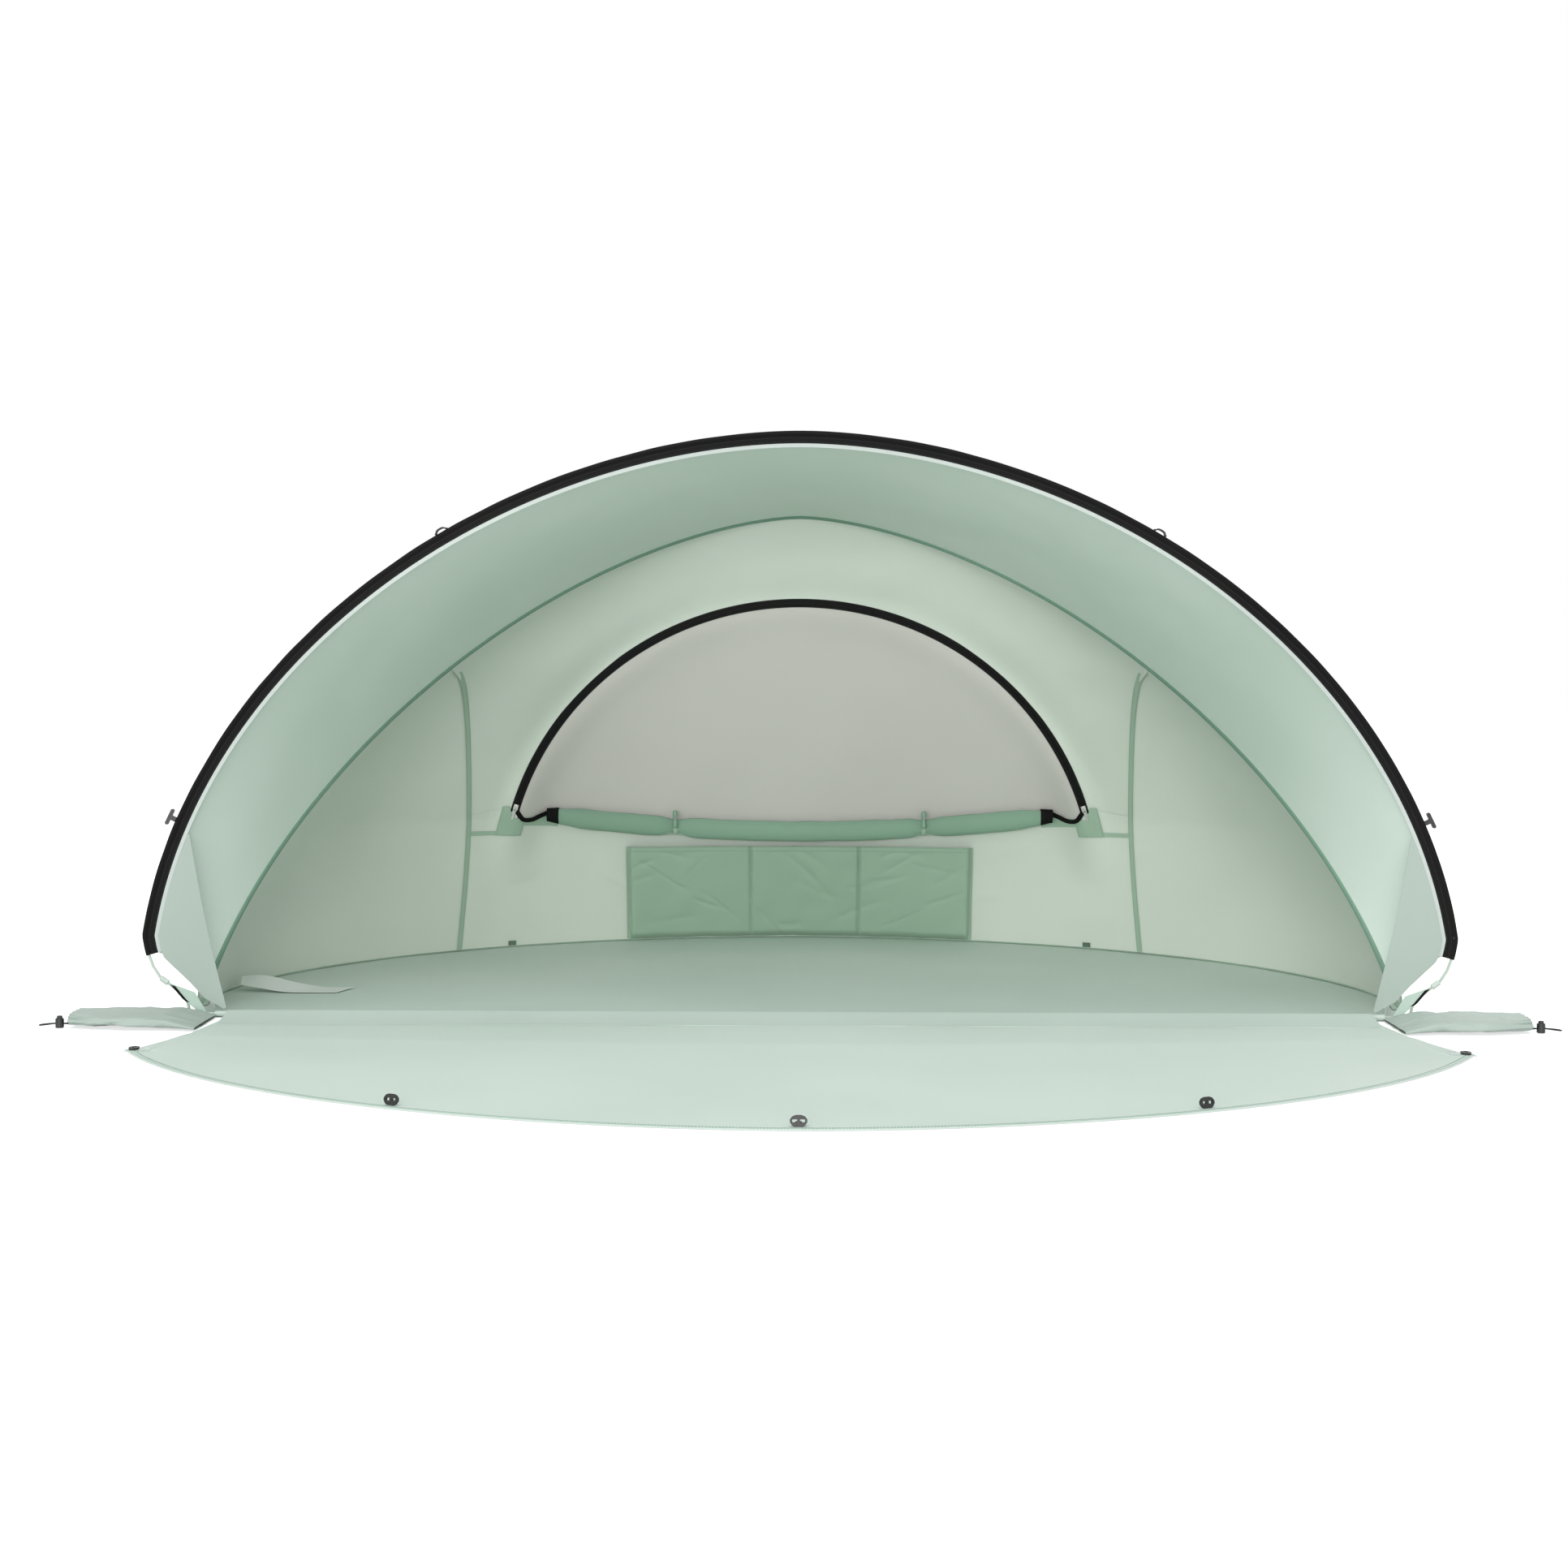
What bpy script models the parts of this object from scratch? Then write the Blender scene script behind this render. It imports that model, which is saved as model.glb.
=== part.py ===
# Pop-up beach tent: two sprung hoops that cross at the front corners, a fabric shell, a floor and a porch.
# Metres, +Z up, +X to the tent's right seen from the front. The origin is the middle of the hem line
# between floor and porch, on the ground; the open front faces -Y.
import bpy
import bmesh
import numpy as np
from math import acos, atan2, cos, degrees, pi, radians, sin
from mathutils import Matrix, Vector
from mathutils.geometry import tessellate_polygon

for old in list(bpy.data.objects):
    bpy.data.objects.remove(old, do_unlink=True)

# Driving sizes of the two hoops
AXIS_HEIGHT = 0.0063          # height of the hoops' common folding axis, the middle of the hem rod
FRONT_HALF_WIDTH = 1.058      # front arch, rod centre
FRONT_RISE = 0.899
FRONT_CENTRE_HEIGHT = 0.0356
FRONT_ROUNDNESS = 1.885       # exponent of the arch's superellipse
FRONT_TAIL_HEIGHT = 0.13      # below this the arch turns in to the corner
FRONT_FOOT_INSET = 0.080      # the arch's rod ends this far inside its widest place, by the folding axis
FRONT_FOOT_X = FRONT_HALF_WIDTH - FRONT_FOOT_INSET
FRONT_TAIL_SHARES = [(1.0, 1.0), (0.91, 0.77), (0.736, 0.546), (0.444, 0.408), (0.125, 0.262),
                     (0.0, 0.138), (0.0, 0.07)]
FRONT_SLEEVE_END_HEIGHT = 0.1

REAR_HALF_WIDTH = 0.975       # rear arch, rod centre, in its own leaning plane
REAR_REACH = 1.178
REAR_ROUNDNESS = 1.66
REAR_LEAN_DEGREES = 46.7      # above the ground, measured at the back
REAR_TAIL_REACH = 0.065
REAR_FOOT_INSET = 0.027
REAR_FOOT_X = REAR_HALF_WIDTH - REAR_FOOT_INSET
REAR_TAIL_SHARES = [(1.0, 1.0), (0.97, 0.6), (0.8, 0.27), (0.55, 0.06), (0.3, 0.0), (0.0, 0.0)]
REAR_SLEEVE_START_REACH = 0.08
REAR_TAIL_STEPS = 4

# Floor outline, rod centre of the rear floor edge
FLOOR_INSET = 0.050            # inside the front arch's widest place
FLOOR_HALF_WIDTH = FRONT_HALF_WIDTH - FLOOR_INSET
FLOOR_CENTRE_DEPTH = 0.25
FLOOR_REAR_DEPTH = 1.207
FLOOR_ROUNDNESS = 1.85
FLOOR_FOOT_INSET = 0.008
FLOOR_FOOT_X = FRONT_FOOT_X - FLOOR_FOOT_INSET
FLOOR_FOOT_DEPTH = 0.0065

# Rods and the fabric round them
ROD_DIAMETER = 0.005
ROD_SIDES = 6
SNUG_BORE = 0.0030
SNUG_RADIUS = 0.0040
LOOSE_BORE = 0.0042
LOOSE_RADIUS = 0.0050
WEB_REACH = 0.0160            # from the rod's centre to the sleeve's sewn edge
WEB_THICKNESS = 0.0014
NECK_SHARE = 1.5              # of the tunnel's radius: where its two layers meet
FABRIC = 0.0010               # drawn thickness of one layer of cloth
GAP = 0.0003                  # between pieces that touch
SEAM_GAP = 0.0004             # half the gap between two panels sewn to each other
EDGE_REACH = WEB_REACH + 0.5 * FABRIC
PANEL_OFFSET = 0.0015         # a panel's edge stands this far off its hoop's plane

REAR_LEAN = radians(REAR_LEAN_DEGREES)
ROD_RADIUS = ROD_DIAMETER / 2
X_AXIS = Vector((1, 0, 0))
Z_AXIS = Vector((0, 0, 1))


def material(name, rgb, roughness, metallic=0.0):
    made = bpy.data.materials.new(name)
    made.use_nodes = True
    shader = made.node_tree.nodes["Principled BSDF"]
    shader.inputs["Base Color"].default_value = (*rgb, 1)
    shader.inputs["Roughness"].default_value = roughness
    shader.inputs["Metallic"].default_value = metallic
    return made


MINT = material("mint polyester", (0.60, 0.69, 0.63), 0.8)
DARK_MINT = material("darker mint polyester", (0.27, 0.38, 0.30), 0.8)
BLACK_CLOTH = material("black polyester", (0.011, 0.011, 0.010), 0.85)
BLACK_PLASTIC = material("black acetal", (0.013, 0.013, 0.013), 0.45)
MESH_CLOTH = material("grey netting", (0.48, 0.48, 0.46), 0.9)
GLASS_FIBRE = material("pale glass fibre", (0.50, 0.56, 0.50), 0.4)
STEEL = material("plated steel", (0.55, 0.56, 0.57), 0.3, 1.0)
SILVER_COAT = material("silver coating", (0.50, 0.52, 0.52), 0.5)
WHITE_SATIN = material("white satin", (0.82, 0.84, 0.83), 0.6)


def make(name, verts, faces, finish, origin=(0, 0, 0), smooth=False):
    """One closed body with its faces turned out and its origin at the given point."""
    start = Vector(origin)
    mesh = bpy.data.meshes.new(name)
    mesh.from_pydata([Vector(v) - start for v in verts], [], faces)
    work = bmesh.new()
    work.from_mesh(mesh)
    bmesh.ops.recalc_face_normals(work, faces=work.faces)
    work.to_mesh(mesh)
    work.free()
    if smooth:
        mesh.shade_smooth()
        mesh.set_sharp_from_angle(angle=radians(40))
    mesh.materials.append(finish)
    placed = bpy.data.objects.new(name, mesh)
    placed.location = start
    bpy.context.scene.collection.objects.link(placed)
    return placed


def circle(radius, sides, turn=0.0):
    return [(radius * cos(turn + 2 * pi * k / sides), radius * sin(turn + 2 * pi * k / sides))
            for k in range(sides)]


def rectangle(width, height):
    return [(-width / 2, -height / 2), (width / 2, -height / 2), (width / 2, height / 2), (-width / 2, height / 2)]


def frames_along(points, plane_normal):
    """For each point of a plane path, the direction across it in the plane and the plane's normal."""
    path = np.array(points, float)
    tangents = np.gradient(path, axis=0)
    tangents /= np.linalg.norm(tangents, axis=1)[:, None]
    normal = np.array(plane_normal, float)
    across = np.cross(normal, tangents)
    return path, across / np.linalg.norm(across, axis=1)[:, None], normal


def rings(points, plane_normal, profile):
    path, across, normal = frames_along(points, plane_normal)
    return [[tuple(p + n * a + b * normal) for n, b in profile] for p, a in zip(path, across)]


def skin(rows, offset=0, flip=False):
    """Quads that join each ring to the next."""
    sides = len(rows[0])
    faces = []
    for i in range(len(rows) - 1):
        for k in range(sides):
            a, b = offset + i * sides + k, offset + i * sides + (k + 1) % sides
            face = (a, b, b + sides, a + sides)
            faces.append(face[::-1] if flip else face)
    return faces


def bar(name, points, plane_normal, profile, finish, origin=(0, 0, 0)):
    """A solid bar with the given profile along a plane path."""
    rows = rings(points, plane_normal, profile)
    sides = len(profile)
    verts = [v for row in rows for v in row]
    faces = skin(rows) + [tuple(range(sides))[::-1], tuple(range(len(verts) - sides, len(verts)))]
    return make(name, verts, faces, finish, origin, smooth=True)


def sleeve(name, points, plane_normal, outer, bore, finish, origin=(0, 0, 0)):
    """A hollow tunnel: outer and bore profiles with as many points each."""
    outside = rings(points, plane_normal, outer)
    inside = rings(points, plane_normal, bore)
    sides, count = len(outer), len(outside) * len(outer)
    verts = [v for row in outside + inside for v in row]
    faces = skin(outside) + skin(inside, count, flip=True)
    end = tessellate_polygon([[Vector((n, b, 0)) for n, b in loop] for loop in (outer, bore)])
    for first in (0, count - sides):
        faces += [tuple(first + k if k < sides else first + k - sides + count for k in t) for t in end]
    return make(name, verts, faces, finish, origin, smooth=True)


def sheet(name, grid, thickness, finish, origin=(0, 0, 0)):
    """A thin closed body round a grid of points, as thick on both sides."""
    middle = np.array(grid, float)
    along, across = np.gradient(middle, axis=0), np.gradient(middle, axis=1)
    normal = np.cross(along, across)
    normal /= np.linalg.norm(normal, axis=2)[:, :, None]
    rows, columns = middle.shape[:2]
    upper = (middle + normal * thickness / 2).reshape(-1, 3)
    lower = (middle - normal * thickness / 2).reshape(-1, 3)
    count = rows * columns
    faces = []
    for i in range(rows - 1):
        for j in range(columns - 1):
            a, b = i * columns + j, (i + 1) * columns + j
            for face in ((a, b, b + 1), (a, b + 1, a + 1)):
                faces.append(face)
                faces.append(tuple(v + count for v in face[::-1]))
    rim = [j for j in range(columns)]
    rim += [i * columns + columns - 1 for i in range(1, rows)]
    rim += [(rows - 1) * columns + j for j in range(columns - 2, -1, -1)]
    rim += [i * columns for i in range(rows - 2, 0, -1)]
    for a, b in zip(rim, rim[1:] + rim[:1]):
        faces.append((a, b, b + count, a + count))
    return make(name, [tuple(v) for v in np.concatenate([upper, lower])], faces, finish, origin)


def plate(name, loops, thickness, finish, place=Matrix.Identity(4), origin=(0, 0, 0)):
    """An outline, with any holes after it, drawn out from z = 0 to its thickness and then placed."""
    flat = [[Vector((x, y, 0)) for x, y in loop] for loop in loops]
    points = [v for loop in flat for v in loop]
    count = len(points)
    faces = []
    for triangle in tessellate_polygon(flat):
        faces.append(tuple(triangle))
        faces.append(tuple(v + count for v in triangle[::-1]))
    first = 0
    for loop in flat:
        for k in range(len(loop)):
            a, b = first + k, first + (k + 1) % len(loop)
            faces.append((a, b, b + count, a + count))
        first += len(loop)
    verts = points + [v + thickness * Z_AXIS for v in points]
    return make(name, [place @ v for v in verts], faces, finish, origin)


def turned(name, profile, sides, finish, place, origin=(0, 0, 0)):
    """A round piece: (radius, height) points from its lower middle to its upper middle, placed."""
    rows = [[place @ Vector((x, y, height)) for x, y in circle(radius, sides)]
            for radius, height in profile]
    verts = [v for row in rows for v in row]
    faces = skin(rows) + [tuple(range(sides))[::-1], tuple(range(len(verts) - sides, len(verts)))]
    return make(name, verts, faces, finish, origin, smooth=True)


def superellipse(half_width, reach, roundness, turn):
    """A point of the quarter from the crown, at turn 0, to the side, at a quarter turn."""
    return half_width * sin(turn) ** (2 / roundness), reach * max(cos(turn), 0) ** (2 / roundness)


def smooth_through(points, steps):
    """A Catmull-Rom curve through chosen points."""
    knots = [np.array(p, float) for p in points]
    knots = [2 * knots[0] - knots[1]] + knots + [2 * knots[-1] - knots[-2]]
    curve = []
    for k in range(1, len(knots) - 2):
        a, b, c, d = knots[k - 1:k + 3]
        for t in np.linspace(0, 1, steps, endpoint=False):
            curve.append(0.5 * (2 * b + (c - a) * t + (2 * a - 5 * b + 4 * c - d) * t ** 2
                                + (3 * b - a - 3 * c + d) * t ** 3))
    return np.array(curve + [knots[-2]])


def evenly(points, count, crowd=1.0):
    """The same path with its points spread evenly along it, or crowded towards its end."""
    path = np.array(points, float)
    length = np.concatenate([[0], np.cumsum(np.linalg.norm(np.diff(path, axis=0), axis=1))])
    spots = length[-1] * (1 - np.linspace(1, 0, count) ** crowd)
    return np.stack([np.interp(spots, length, path[:, k]) for k in range(path.shape[1])], axis=1)


def mirrored(half):
    """A half path from the crown outwards, with its mirror image put before it."""
    return np.concatenate([half[:0:-1] * np.array([-1, 1]), half])


def front_half():
    """The front arch's rod from its crown down to where its tail starts, as (x, z)."""
    points = []
    for turn in np.linspace(0, pi / 2, 200):
        x, z = superellipse(FRONT_HALF_WIDTH, FRONT_RISE, FRONT_ROUNDNESS, turn)
        if z + FRONT_CENTRE_HEIGHT > FRONT_TAIL_HEIGHT:
            points.append((x, z + FRONT_CENTRE_HEIGHT))
    return points


def front_tail():
    top = front_half()[-1]
    span = top[0] - FRONT_FOOT_X
    return smooth_through([(FRONT_FOOT_X + span * x, FRONT_TAIL_HEIGHT * z)
                           for x, z in FRONT_TAIL_SHARES], 4)


def rear_half():
    """The rear arch's rod from its crown to where its tail starts, as (x, reach from the axis)."""
    points = []
    for turn in np.linspace(0, pi / 2, 240):
        x, reach = superellipse(REAR_HALF_WIDTH, REAR_REACH, REAR_ROUNDNESS, turn)
        if reach > REAR_TAIL_REACH:
            points.append((x, reach))
    return points


def rear_tail():
    top = rear_half()[-1]
    span = top[0] - REAR_FOOT_X
    return smooth_through([(REAR_FOOT_X + span * x, REAR_TAIL_REACH * r)
                           for x, r in REAR_TAIL_SHARES], REAR_TAIL_STEPS)


def split_at(path, limit):
    """A crown-to-foot half path cut where its second coordinate falls to a limit."""
    crown = [p for p in path if p[1] > limit]
    foot = [p for p in path if p[1] <= limit]
    return np.array(crown), np.array(foot)


def upright(points, depth=0.0):
    """(x, z) points set in the front arch's plane."""
    return [(x, depth, z) for x, z in points]


REAR_SPAN = Vector((0, cos(REAR_LEAN), sin(REAR_LEAN)))
REAR_NORMAL = Vector((0, sin(REAR_LEAN), -cos(REAR_LEAN)))   # towards the rear wall


def leaning(points, off=0.0):
    """(x, reach) points set in the rear arch's plane, or off it towards the wall."""
    base = Vector((0, 0, AXIS_HEIGHT)) + off * REAR_NORMAL
    return [tuple(base + X_AXIS * float(x) + REAR_SPAN * float(r)) for x, r in points]


def inward(path, distance):
    """A half path from the crown, moved towards the arch's inside."""
    points = np.array(path, float)
    tangents = np.gradient(points, axis=0)
    tangents /= np.linalg.norm(tangents, axis=1)[:, None]
    return points + distance * np.stack([tangents[:, 1], -tangents[:, 0]], axis=1)


# Sleeve profiles, as (towards the inside, along the plane's normal)
ROUND_TURNS = [radians(a) for a in (60, 100, 140, 180, 220, 260, 300)]
BORE_TURNS = ROUND_TURNS + [radians(a) for a in (330, 350, 10, 30)]


def sleeve_profiles(radius, bore, web_low, web_high):
    outer = [(radius * cos(a), radius * sin(a)) for a in ROUND_TURNS]
    neck = NECK_SHARE * radius
    outer += [(neck, web_low), (WEB_REACH, web_low), (WEB_REACH, web_high), (neck, web_high)]
    return outer, [(bore * cos(a), bore * sin(a)) for a in BORE_TURNS]


FRONT_STEPS = 40
FRONT_CROWDING = 1.35
REAR_STEPS = 36
GROUND_STEPS = 30
FRONT_ORIGIN = (0, 0, AXIS_HEIGHT)


def front_arch():
    """The front hoop's upper half: its rod, its black sleeve and the silver hem inside it."""
    half = np.concatenate([np.array(front_half()), front_tail()[1:]])
    crown, foot = split_at(half, FRONT_SLEEVE_END_HEIGHT)
    crown = evenly(crown, FRONT_STEPS // 2 + 1, FRONT_CROWDING)
    foot = evenly(np.concatenate([crown[-1:], foot]), 7)
    covered = mirrored(crown)
    whole = mirrored(np.concatenate([crown, foot[1:]]))
    normal = (0, 1, 0)
    outer, bore = sleeve_profiles(SNUG_RADIUS, SNUG_BORE, -WEB_THICKNESS / 2, WEB_THICKNESS / 2)
    bar("front_arch_rod", upright(whole), normal, circle(ROD_RADIUS, ROD_SIDES), GLASS_FIBRE, FRONT_ORIGIN)
    sleeve("front_arch_sleeve", upright(covered), normal, outer, bore, BLACK_CLOTH, FRONT_ORIGIN)
    hem_width = 0.006
    hem_back = 0.0002
    near, far = WEB_REACH + GAP, WEB_REACH + GAP + hem_width
    low = -hem_back - FABRIC
    bar("front_hem_strip", upright(covered), normal,
        [(near, low), (far, low), (far, -hem_back), (near, -hem_back)], SILVER_COAT, FRONT_ORIGIN)
    return crown, foot, far


def rear_arch():
    """The rear hoop's upper half, whose feet lie on the folding axis."""
    half = np.concatenate([np.array(rear_half()), rear_tail()[1:]])
    crown, foot = split_at(half, REAR_SLEEVE_START_REACH)
    crown = evenly(crown, REAR_STEPS // 2 + 1)
    bend = evenly(np.concatenate([crown[-1:], foot[:-REAR_TAIL_STEPS]]), 9)
    foot = np.concatenate([bend, foot[-1:]])
    covered = mirrored(crown)
    whole = mirrored(np.concatenate([crown, foot[1:]]))
    outer, bore = sleeve_profiles(SNUG_RADIUS, SNUG_BORE, -WEB_THICKNESS / 2, WEB_THICKNESS / 2)
    bar("rear_arch_rod", leaning(whole), REAR_NORMAL, circle(ROD_RADIUS, ROD_SIDES), GLASS_FIBRE, FRONT_ORIGIN)
    sleeve("rear_arch_sleeve", leaning(covered), REAR_NORMAL, outer, bore, DARK_MINT, FRONT_ORIGIN)
    return crown


def floor_half():
    """The rear floor edge's rod from its middle to the front corner, as (x, y)."""
    points = []
    for turn in np.linspace(0, pi / 2, 120):
        x, y = superellipse(FLOOR_HALF_WIDTH, FLOOR_REAR_DEPTH - FLOOR_CENTRE_DEPTH, FLOOR_ROUNDNESS, turn)
        points.append((x, FLOOR_CENTRE_DEPTH + y))
    for share in np.linspace(1, 0, 24)[1:]:
        y = FLOOR_FOOT_DEPTH + share * (FLOOR_CENTRE_DEPTH - FLOOR_FOOT_DEPTH)
        points.append((FLOOR_FOOT_X + (FLOOR_HALF_WIDTH - FLOOR_FOOT_X) * sin(share * pi / 2), y))
    return np.array(points)


FLOOR_TUCK = 0.002             # the sheet passes this far under and beyond the hem rod
WEB_LOW = AXIS_HEIGHT - FABRIC - 0.5 * FABRIC      # below the rod: the sewn web lies on the floor sheet
WEB_HIGH = WEB_LOW - WEB_THICKNESS + 0.2 * FABRIC
FERRULE_LENGTH = 0.060
FERRULE_RADIUS = 0.0034
FERRULE_BORE = 0.0029


def ferrule(name, middle):
    """A plated tube that closes a ring where the ends of its rod meet."""
    ends = [Vector(middle) + s * FERRULE_LENGTH / 2 * X_AXIS for s in (-1, 1)]
    sleeve(name, [tuple(e) for e in ends], (0, 0, 1), circle(FERRULE_RADIUS, 12), circle(FERRULE_BORE, 12),
           STEEL)


def ground_edges():
    """The hem rod along the front and the rod round the rear floor edge, each in its fabric tunnel."""
    rod = circle(ROD_RADIUS, ROD_SIDES)
    half = evenly(floor_half(), GROUND_STEPS // 2 + 1)
    half[0, 1] = half[1, 1] + (half[0, 1] - half[1, 1])
    low = [(x, y, AXIS_HEIGHT) for x, y in half]
    flat_start = [(FERRULE_LENGTH, half[0, 1], AXIS_HEIGHT)]
    right = [(GAP, half[0, 1], AXIS_HEIGHT)] + flat_start + [p for p in low if p[0] > 1.2 * FERRULE_LENGTH]
    left = [(-x, y, z) for x, y, z in right]
    down = (0, 0, -1)
    outer, bore = sleeve_profiles(LOOSE_RADIUS, LOOSE_BORE, WEB_HIGH, WEB_LOW)
    bar("rear_edge_rod_right", right, down, rod, GLASS_FIBRE)
    bar("rear_edge_rod_left", left[::-1], down, rod, GLASS_FIBRE)
    sleeve("rear_edge_sleeve", left[-2:0:-1] + right[1:-1], down, outer, bore, DARK_MINT)
    ferrule("rear_edge_ferrule", (0, half[0, 1], AXIS_HEIGHT))
    hem_end = REAR_FOOT_X - GAP
    hem_sleeve_end = hem_end - 2 * ROD_DIAMETER
    bar("hem_rod", [(x, 0, AXIS_HEIGHT) for x in (-hem_end, hem_end)], (0, 0, 1), rod, GLASS_FIBRE)
    low_outer = [(n, -b) for n, b in outer][::-1]
    low_bore = [(n, -b) for n, b in bore][::-1]
    sleeve("hem_sleeve", [(x, 0, AXIS_HEIGHT) for x in (-hem_sleeve_end, hem_sleeve_end)], (0, 0, 1),
           low_outer, low_bore, MINT)
    return half


def floor_sheet(half):
    """The groundsheet, from just inside the hem rod to just inside the rear rod."""
    clear = LOOSE_RADIUS + 0.5 * FABRIC
    edge = inward(half, clear)
    edge = np.array([p for p in edge if p[1] > 3 * clear])
    corner = [(FLOOR_FOOT_X - 3 * clear, -FLOOR_TUCK)]
    right = [tuple(p) for p in edge] + corner
    outline = [(-x, y) for x, y in right[:0:-1]] + right
    return plate("floor", [outline[::-1]], FABRIC, MINT)


# The rear wall: at each height a rounded section from one side of the rear arch to the other
WALL_FOOT_DEPTH = 0.052        # the wall's front corner stands this far behind the folding axis
WALL_FOOT_HEIGHT = AXIS_HEIGHT - WEB_LOW + WEB_THICKNESS - 0.2 * FABRIC + GAP + 0.5 * FABRIC
WALL_INSET = 0.0115            # the wall's foot, from the rod of the floor edge
WALL_FOOT_HALF_WIDTH = FLOOR_HALF_WIDTH - WALL_INSET
WALL_SETBACK = 0.198           # how far behind the arch the walls are widest
WALL_FULLNESS = 2.5            # exponent of the section, above the window sill
SEAM_TOP_HEIGHT = 0.56
SIDE_WALL_TIP = 0.006
SEAM_FOOT_X = 0.675
REAR_FOOT_OF_WALL = FLOOR_REAR_DEPTH - WALL_INSET

# The window: a round zip whose line lies in one plane, so that a slider turns about one axis
ZIP_RADIUS = 0.592
ZIP_LEAN = radians(8)
ZIP_TOP = Vector((0, 0.875, 0.690))
ZIP_SWEEP = radians(73)
ZIP_HALF_WIDTH = 0.0085
ZIP_THICKNESS = 0.0016
ZIP_COIL_WIDTH = 0.003
ZIP_COIL_TOP = 0.0027
ZIP_LINE_STEPS = 56
CHORD_ALLOWANCE = 0.0008     # the panel's edge is drawn in longer straight steps than the zip
ZIP_FLATTENING = 0.035
ZIP_UP = Vector((0, -sin(ZIP_LEAN), cos(ZIP_LEAN)))
ZIP_INWARD = Vector((0, -cos(ZIP_LEAN), -sin(ZIP_LEAN)))
ZIP_CENTRE = ZIP_TOP - ZIP_RADIUS * ZIP_UP
SILL_HEIGHT = 0.262
SLIDER_PARK = radians(71.8)
LOWER_ROWS = [WALL_FOOT_HEIGHT, 0.04, 0.09, 0.176, 0.232, SILL_HEIGHT - SEAM_GAP]


def wall_tables(crown):
    edge = np.array(leaning(inward(crown, EDGE_REACH), PANEL_OFFSET))[::-1]
    return edge[:, 2], edge[:, 0], edge[:, 1]


class RearWall:
    """Depth of the rear wall at a width and a height, and its sections."""

    def __init__(self, crown):
        self.heights, self.widths, self.depths = wall_tables(crown)
        self.top = self.heights[-1]
        self.bulge = WALL_FOOT_HALF_WIDTH - self.widths[0]
        inner = ZIP_RADIUS - ZIP_HALF_WIDTH - SEAM_GAP
        beside = ZIP_RADIUS * sin(ZIP_SWEEP) + ZIP_HALF_WIDTH
        self.columns = [-beside] + [zip_spot(a, inner)[0] for a in ZIP_ANGLES] + [beside]

    def arch_at(self, z):
        return (float(np.interp(z, self.heights, self.widths)),
                max(float(np.interp(z, self.heights, self.depths)), WALL_FOOT_DEPTH))

    def section(self, z):
        """Half width, depth where widest, depth at the middle, and fullness of the section at z."""
        x, y = self.arch_at(z)
        low = max(0.0, 1 - z / SEAM_TOP_HEIGHT)
        middle = REAR_FOOT_OF_WALL + (self.depths[-1] - REAR_FOOT_OF_WALL) * z / self.top
        rise = min(1.0, z / SILL_HEIGHT)
        fullness = FLOOR_ROUNDNESS + (WALL_FULLNESS - FLOOR_ROUNDNESS) * rise
        return x + self.bulge * low, y + WALL_SETBACK * low, middle, fullness

    def depth(self, x, z):
        half, widest, middle, fullness = self.section(z)
        share = min(abs(x) / half, 1.0)
        plain = widest + (middle - widest) * (1 - share ** fullness) ** (1 / fullness)
        rise = (z - ZIP_CENTRE.z) / cos(ZIP_LEAN)
        off = (x * x + rise * rise) ** 0.5 - ZIP_RADIUS
        on_zip = ZIP_CENTRE.y - (z - ZIP_CENTRE.z) * sin(ZIP_LEAN) / cos(ZIP_LEAN)
        fade = min(max((z - SILL_HEIGHT / 2) / (SILL_HEIGHT / 2), 0.0), 1.0)
        near_arch = min(max((1 - share) / 0.15, 0.0), 1.0)
        weight = np.exp(-(off / ZIP_FLATTENING) ** 2) * fade * near_arch
        return plain + weight * (on_zip - plain)

    def point(self, x, z):
        return (x, self.depth(x, z), z)

    def facet(self, x, z):
        """Depth of the lower panel as drawn, straight between its columns and rows."""
        low = max(k for k, row in enumerate(LOWER_ROWS[:-1]) if row <= z or k == 0)
        depths = [np.interp(x, self.columns, [self.depth(c, row) for c in self.columns])
                  for row in LOWER_ROWS[low:low + 2]]
        span = LOWER_ROWS[low + 1] - LOWER_ROWS[low]
        return float(depths[0] + (depths[1] - depths[0]) * (z - LOWER_ROWS[low]) / span)


def seam_x(z):
    """Half width of the wall's upright seams."""
    top = SEAM_TOP_X
    return SEAM_FOOT_X + (top - SEAM_FOOT_X) * z / SEAM_TOP_HEIGHT


def zip_spot(angle, radius=ZIP_RADIUS):
    """(x, z) on a circle round the zip's centre, seen square to the tent's front."""
    return radius * sin(angle), ZIP_CENTRE.z + radius * cos(angle) * cos(ZIP_LEAN)


def zip_point(angle, radius=ZIP_RADIUS):
    return ZIP_CENTRE + radius * (X_AXIS * sin(angle) + ZIP_UP * cos(angle))


ZIP_STEPS = 24
ZIP_ANGLES = [ZIP_SWEEP * k / (ZIP_STEPS / 2) for k in range(-ZIP_STEPS // 2, ZIP_STEPS // 2 + 1)]


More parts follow.
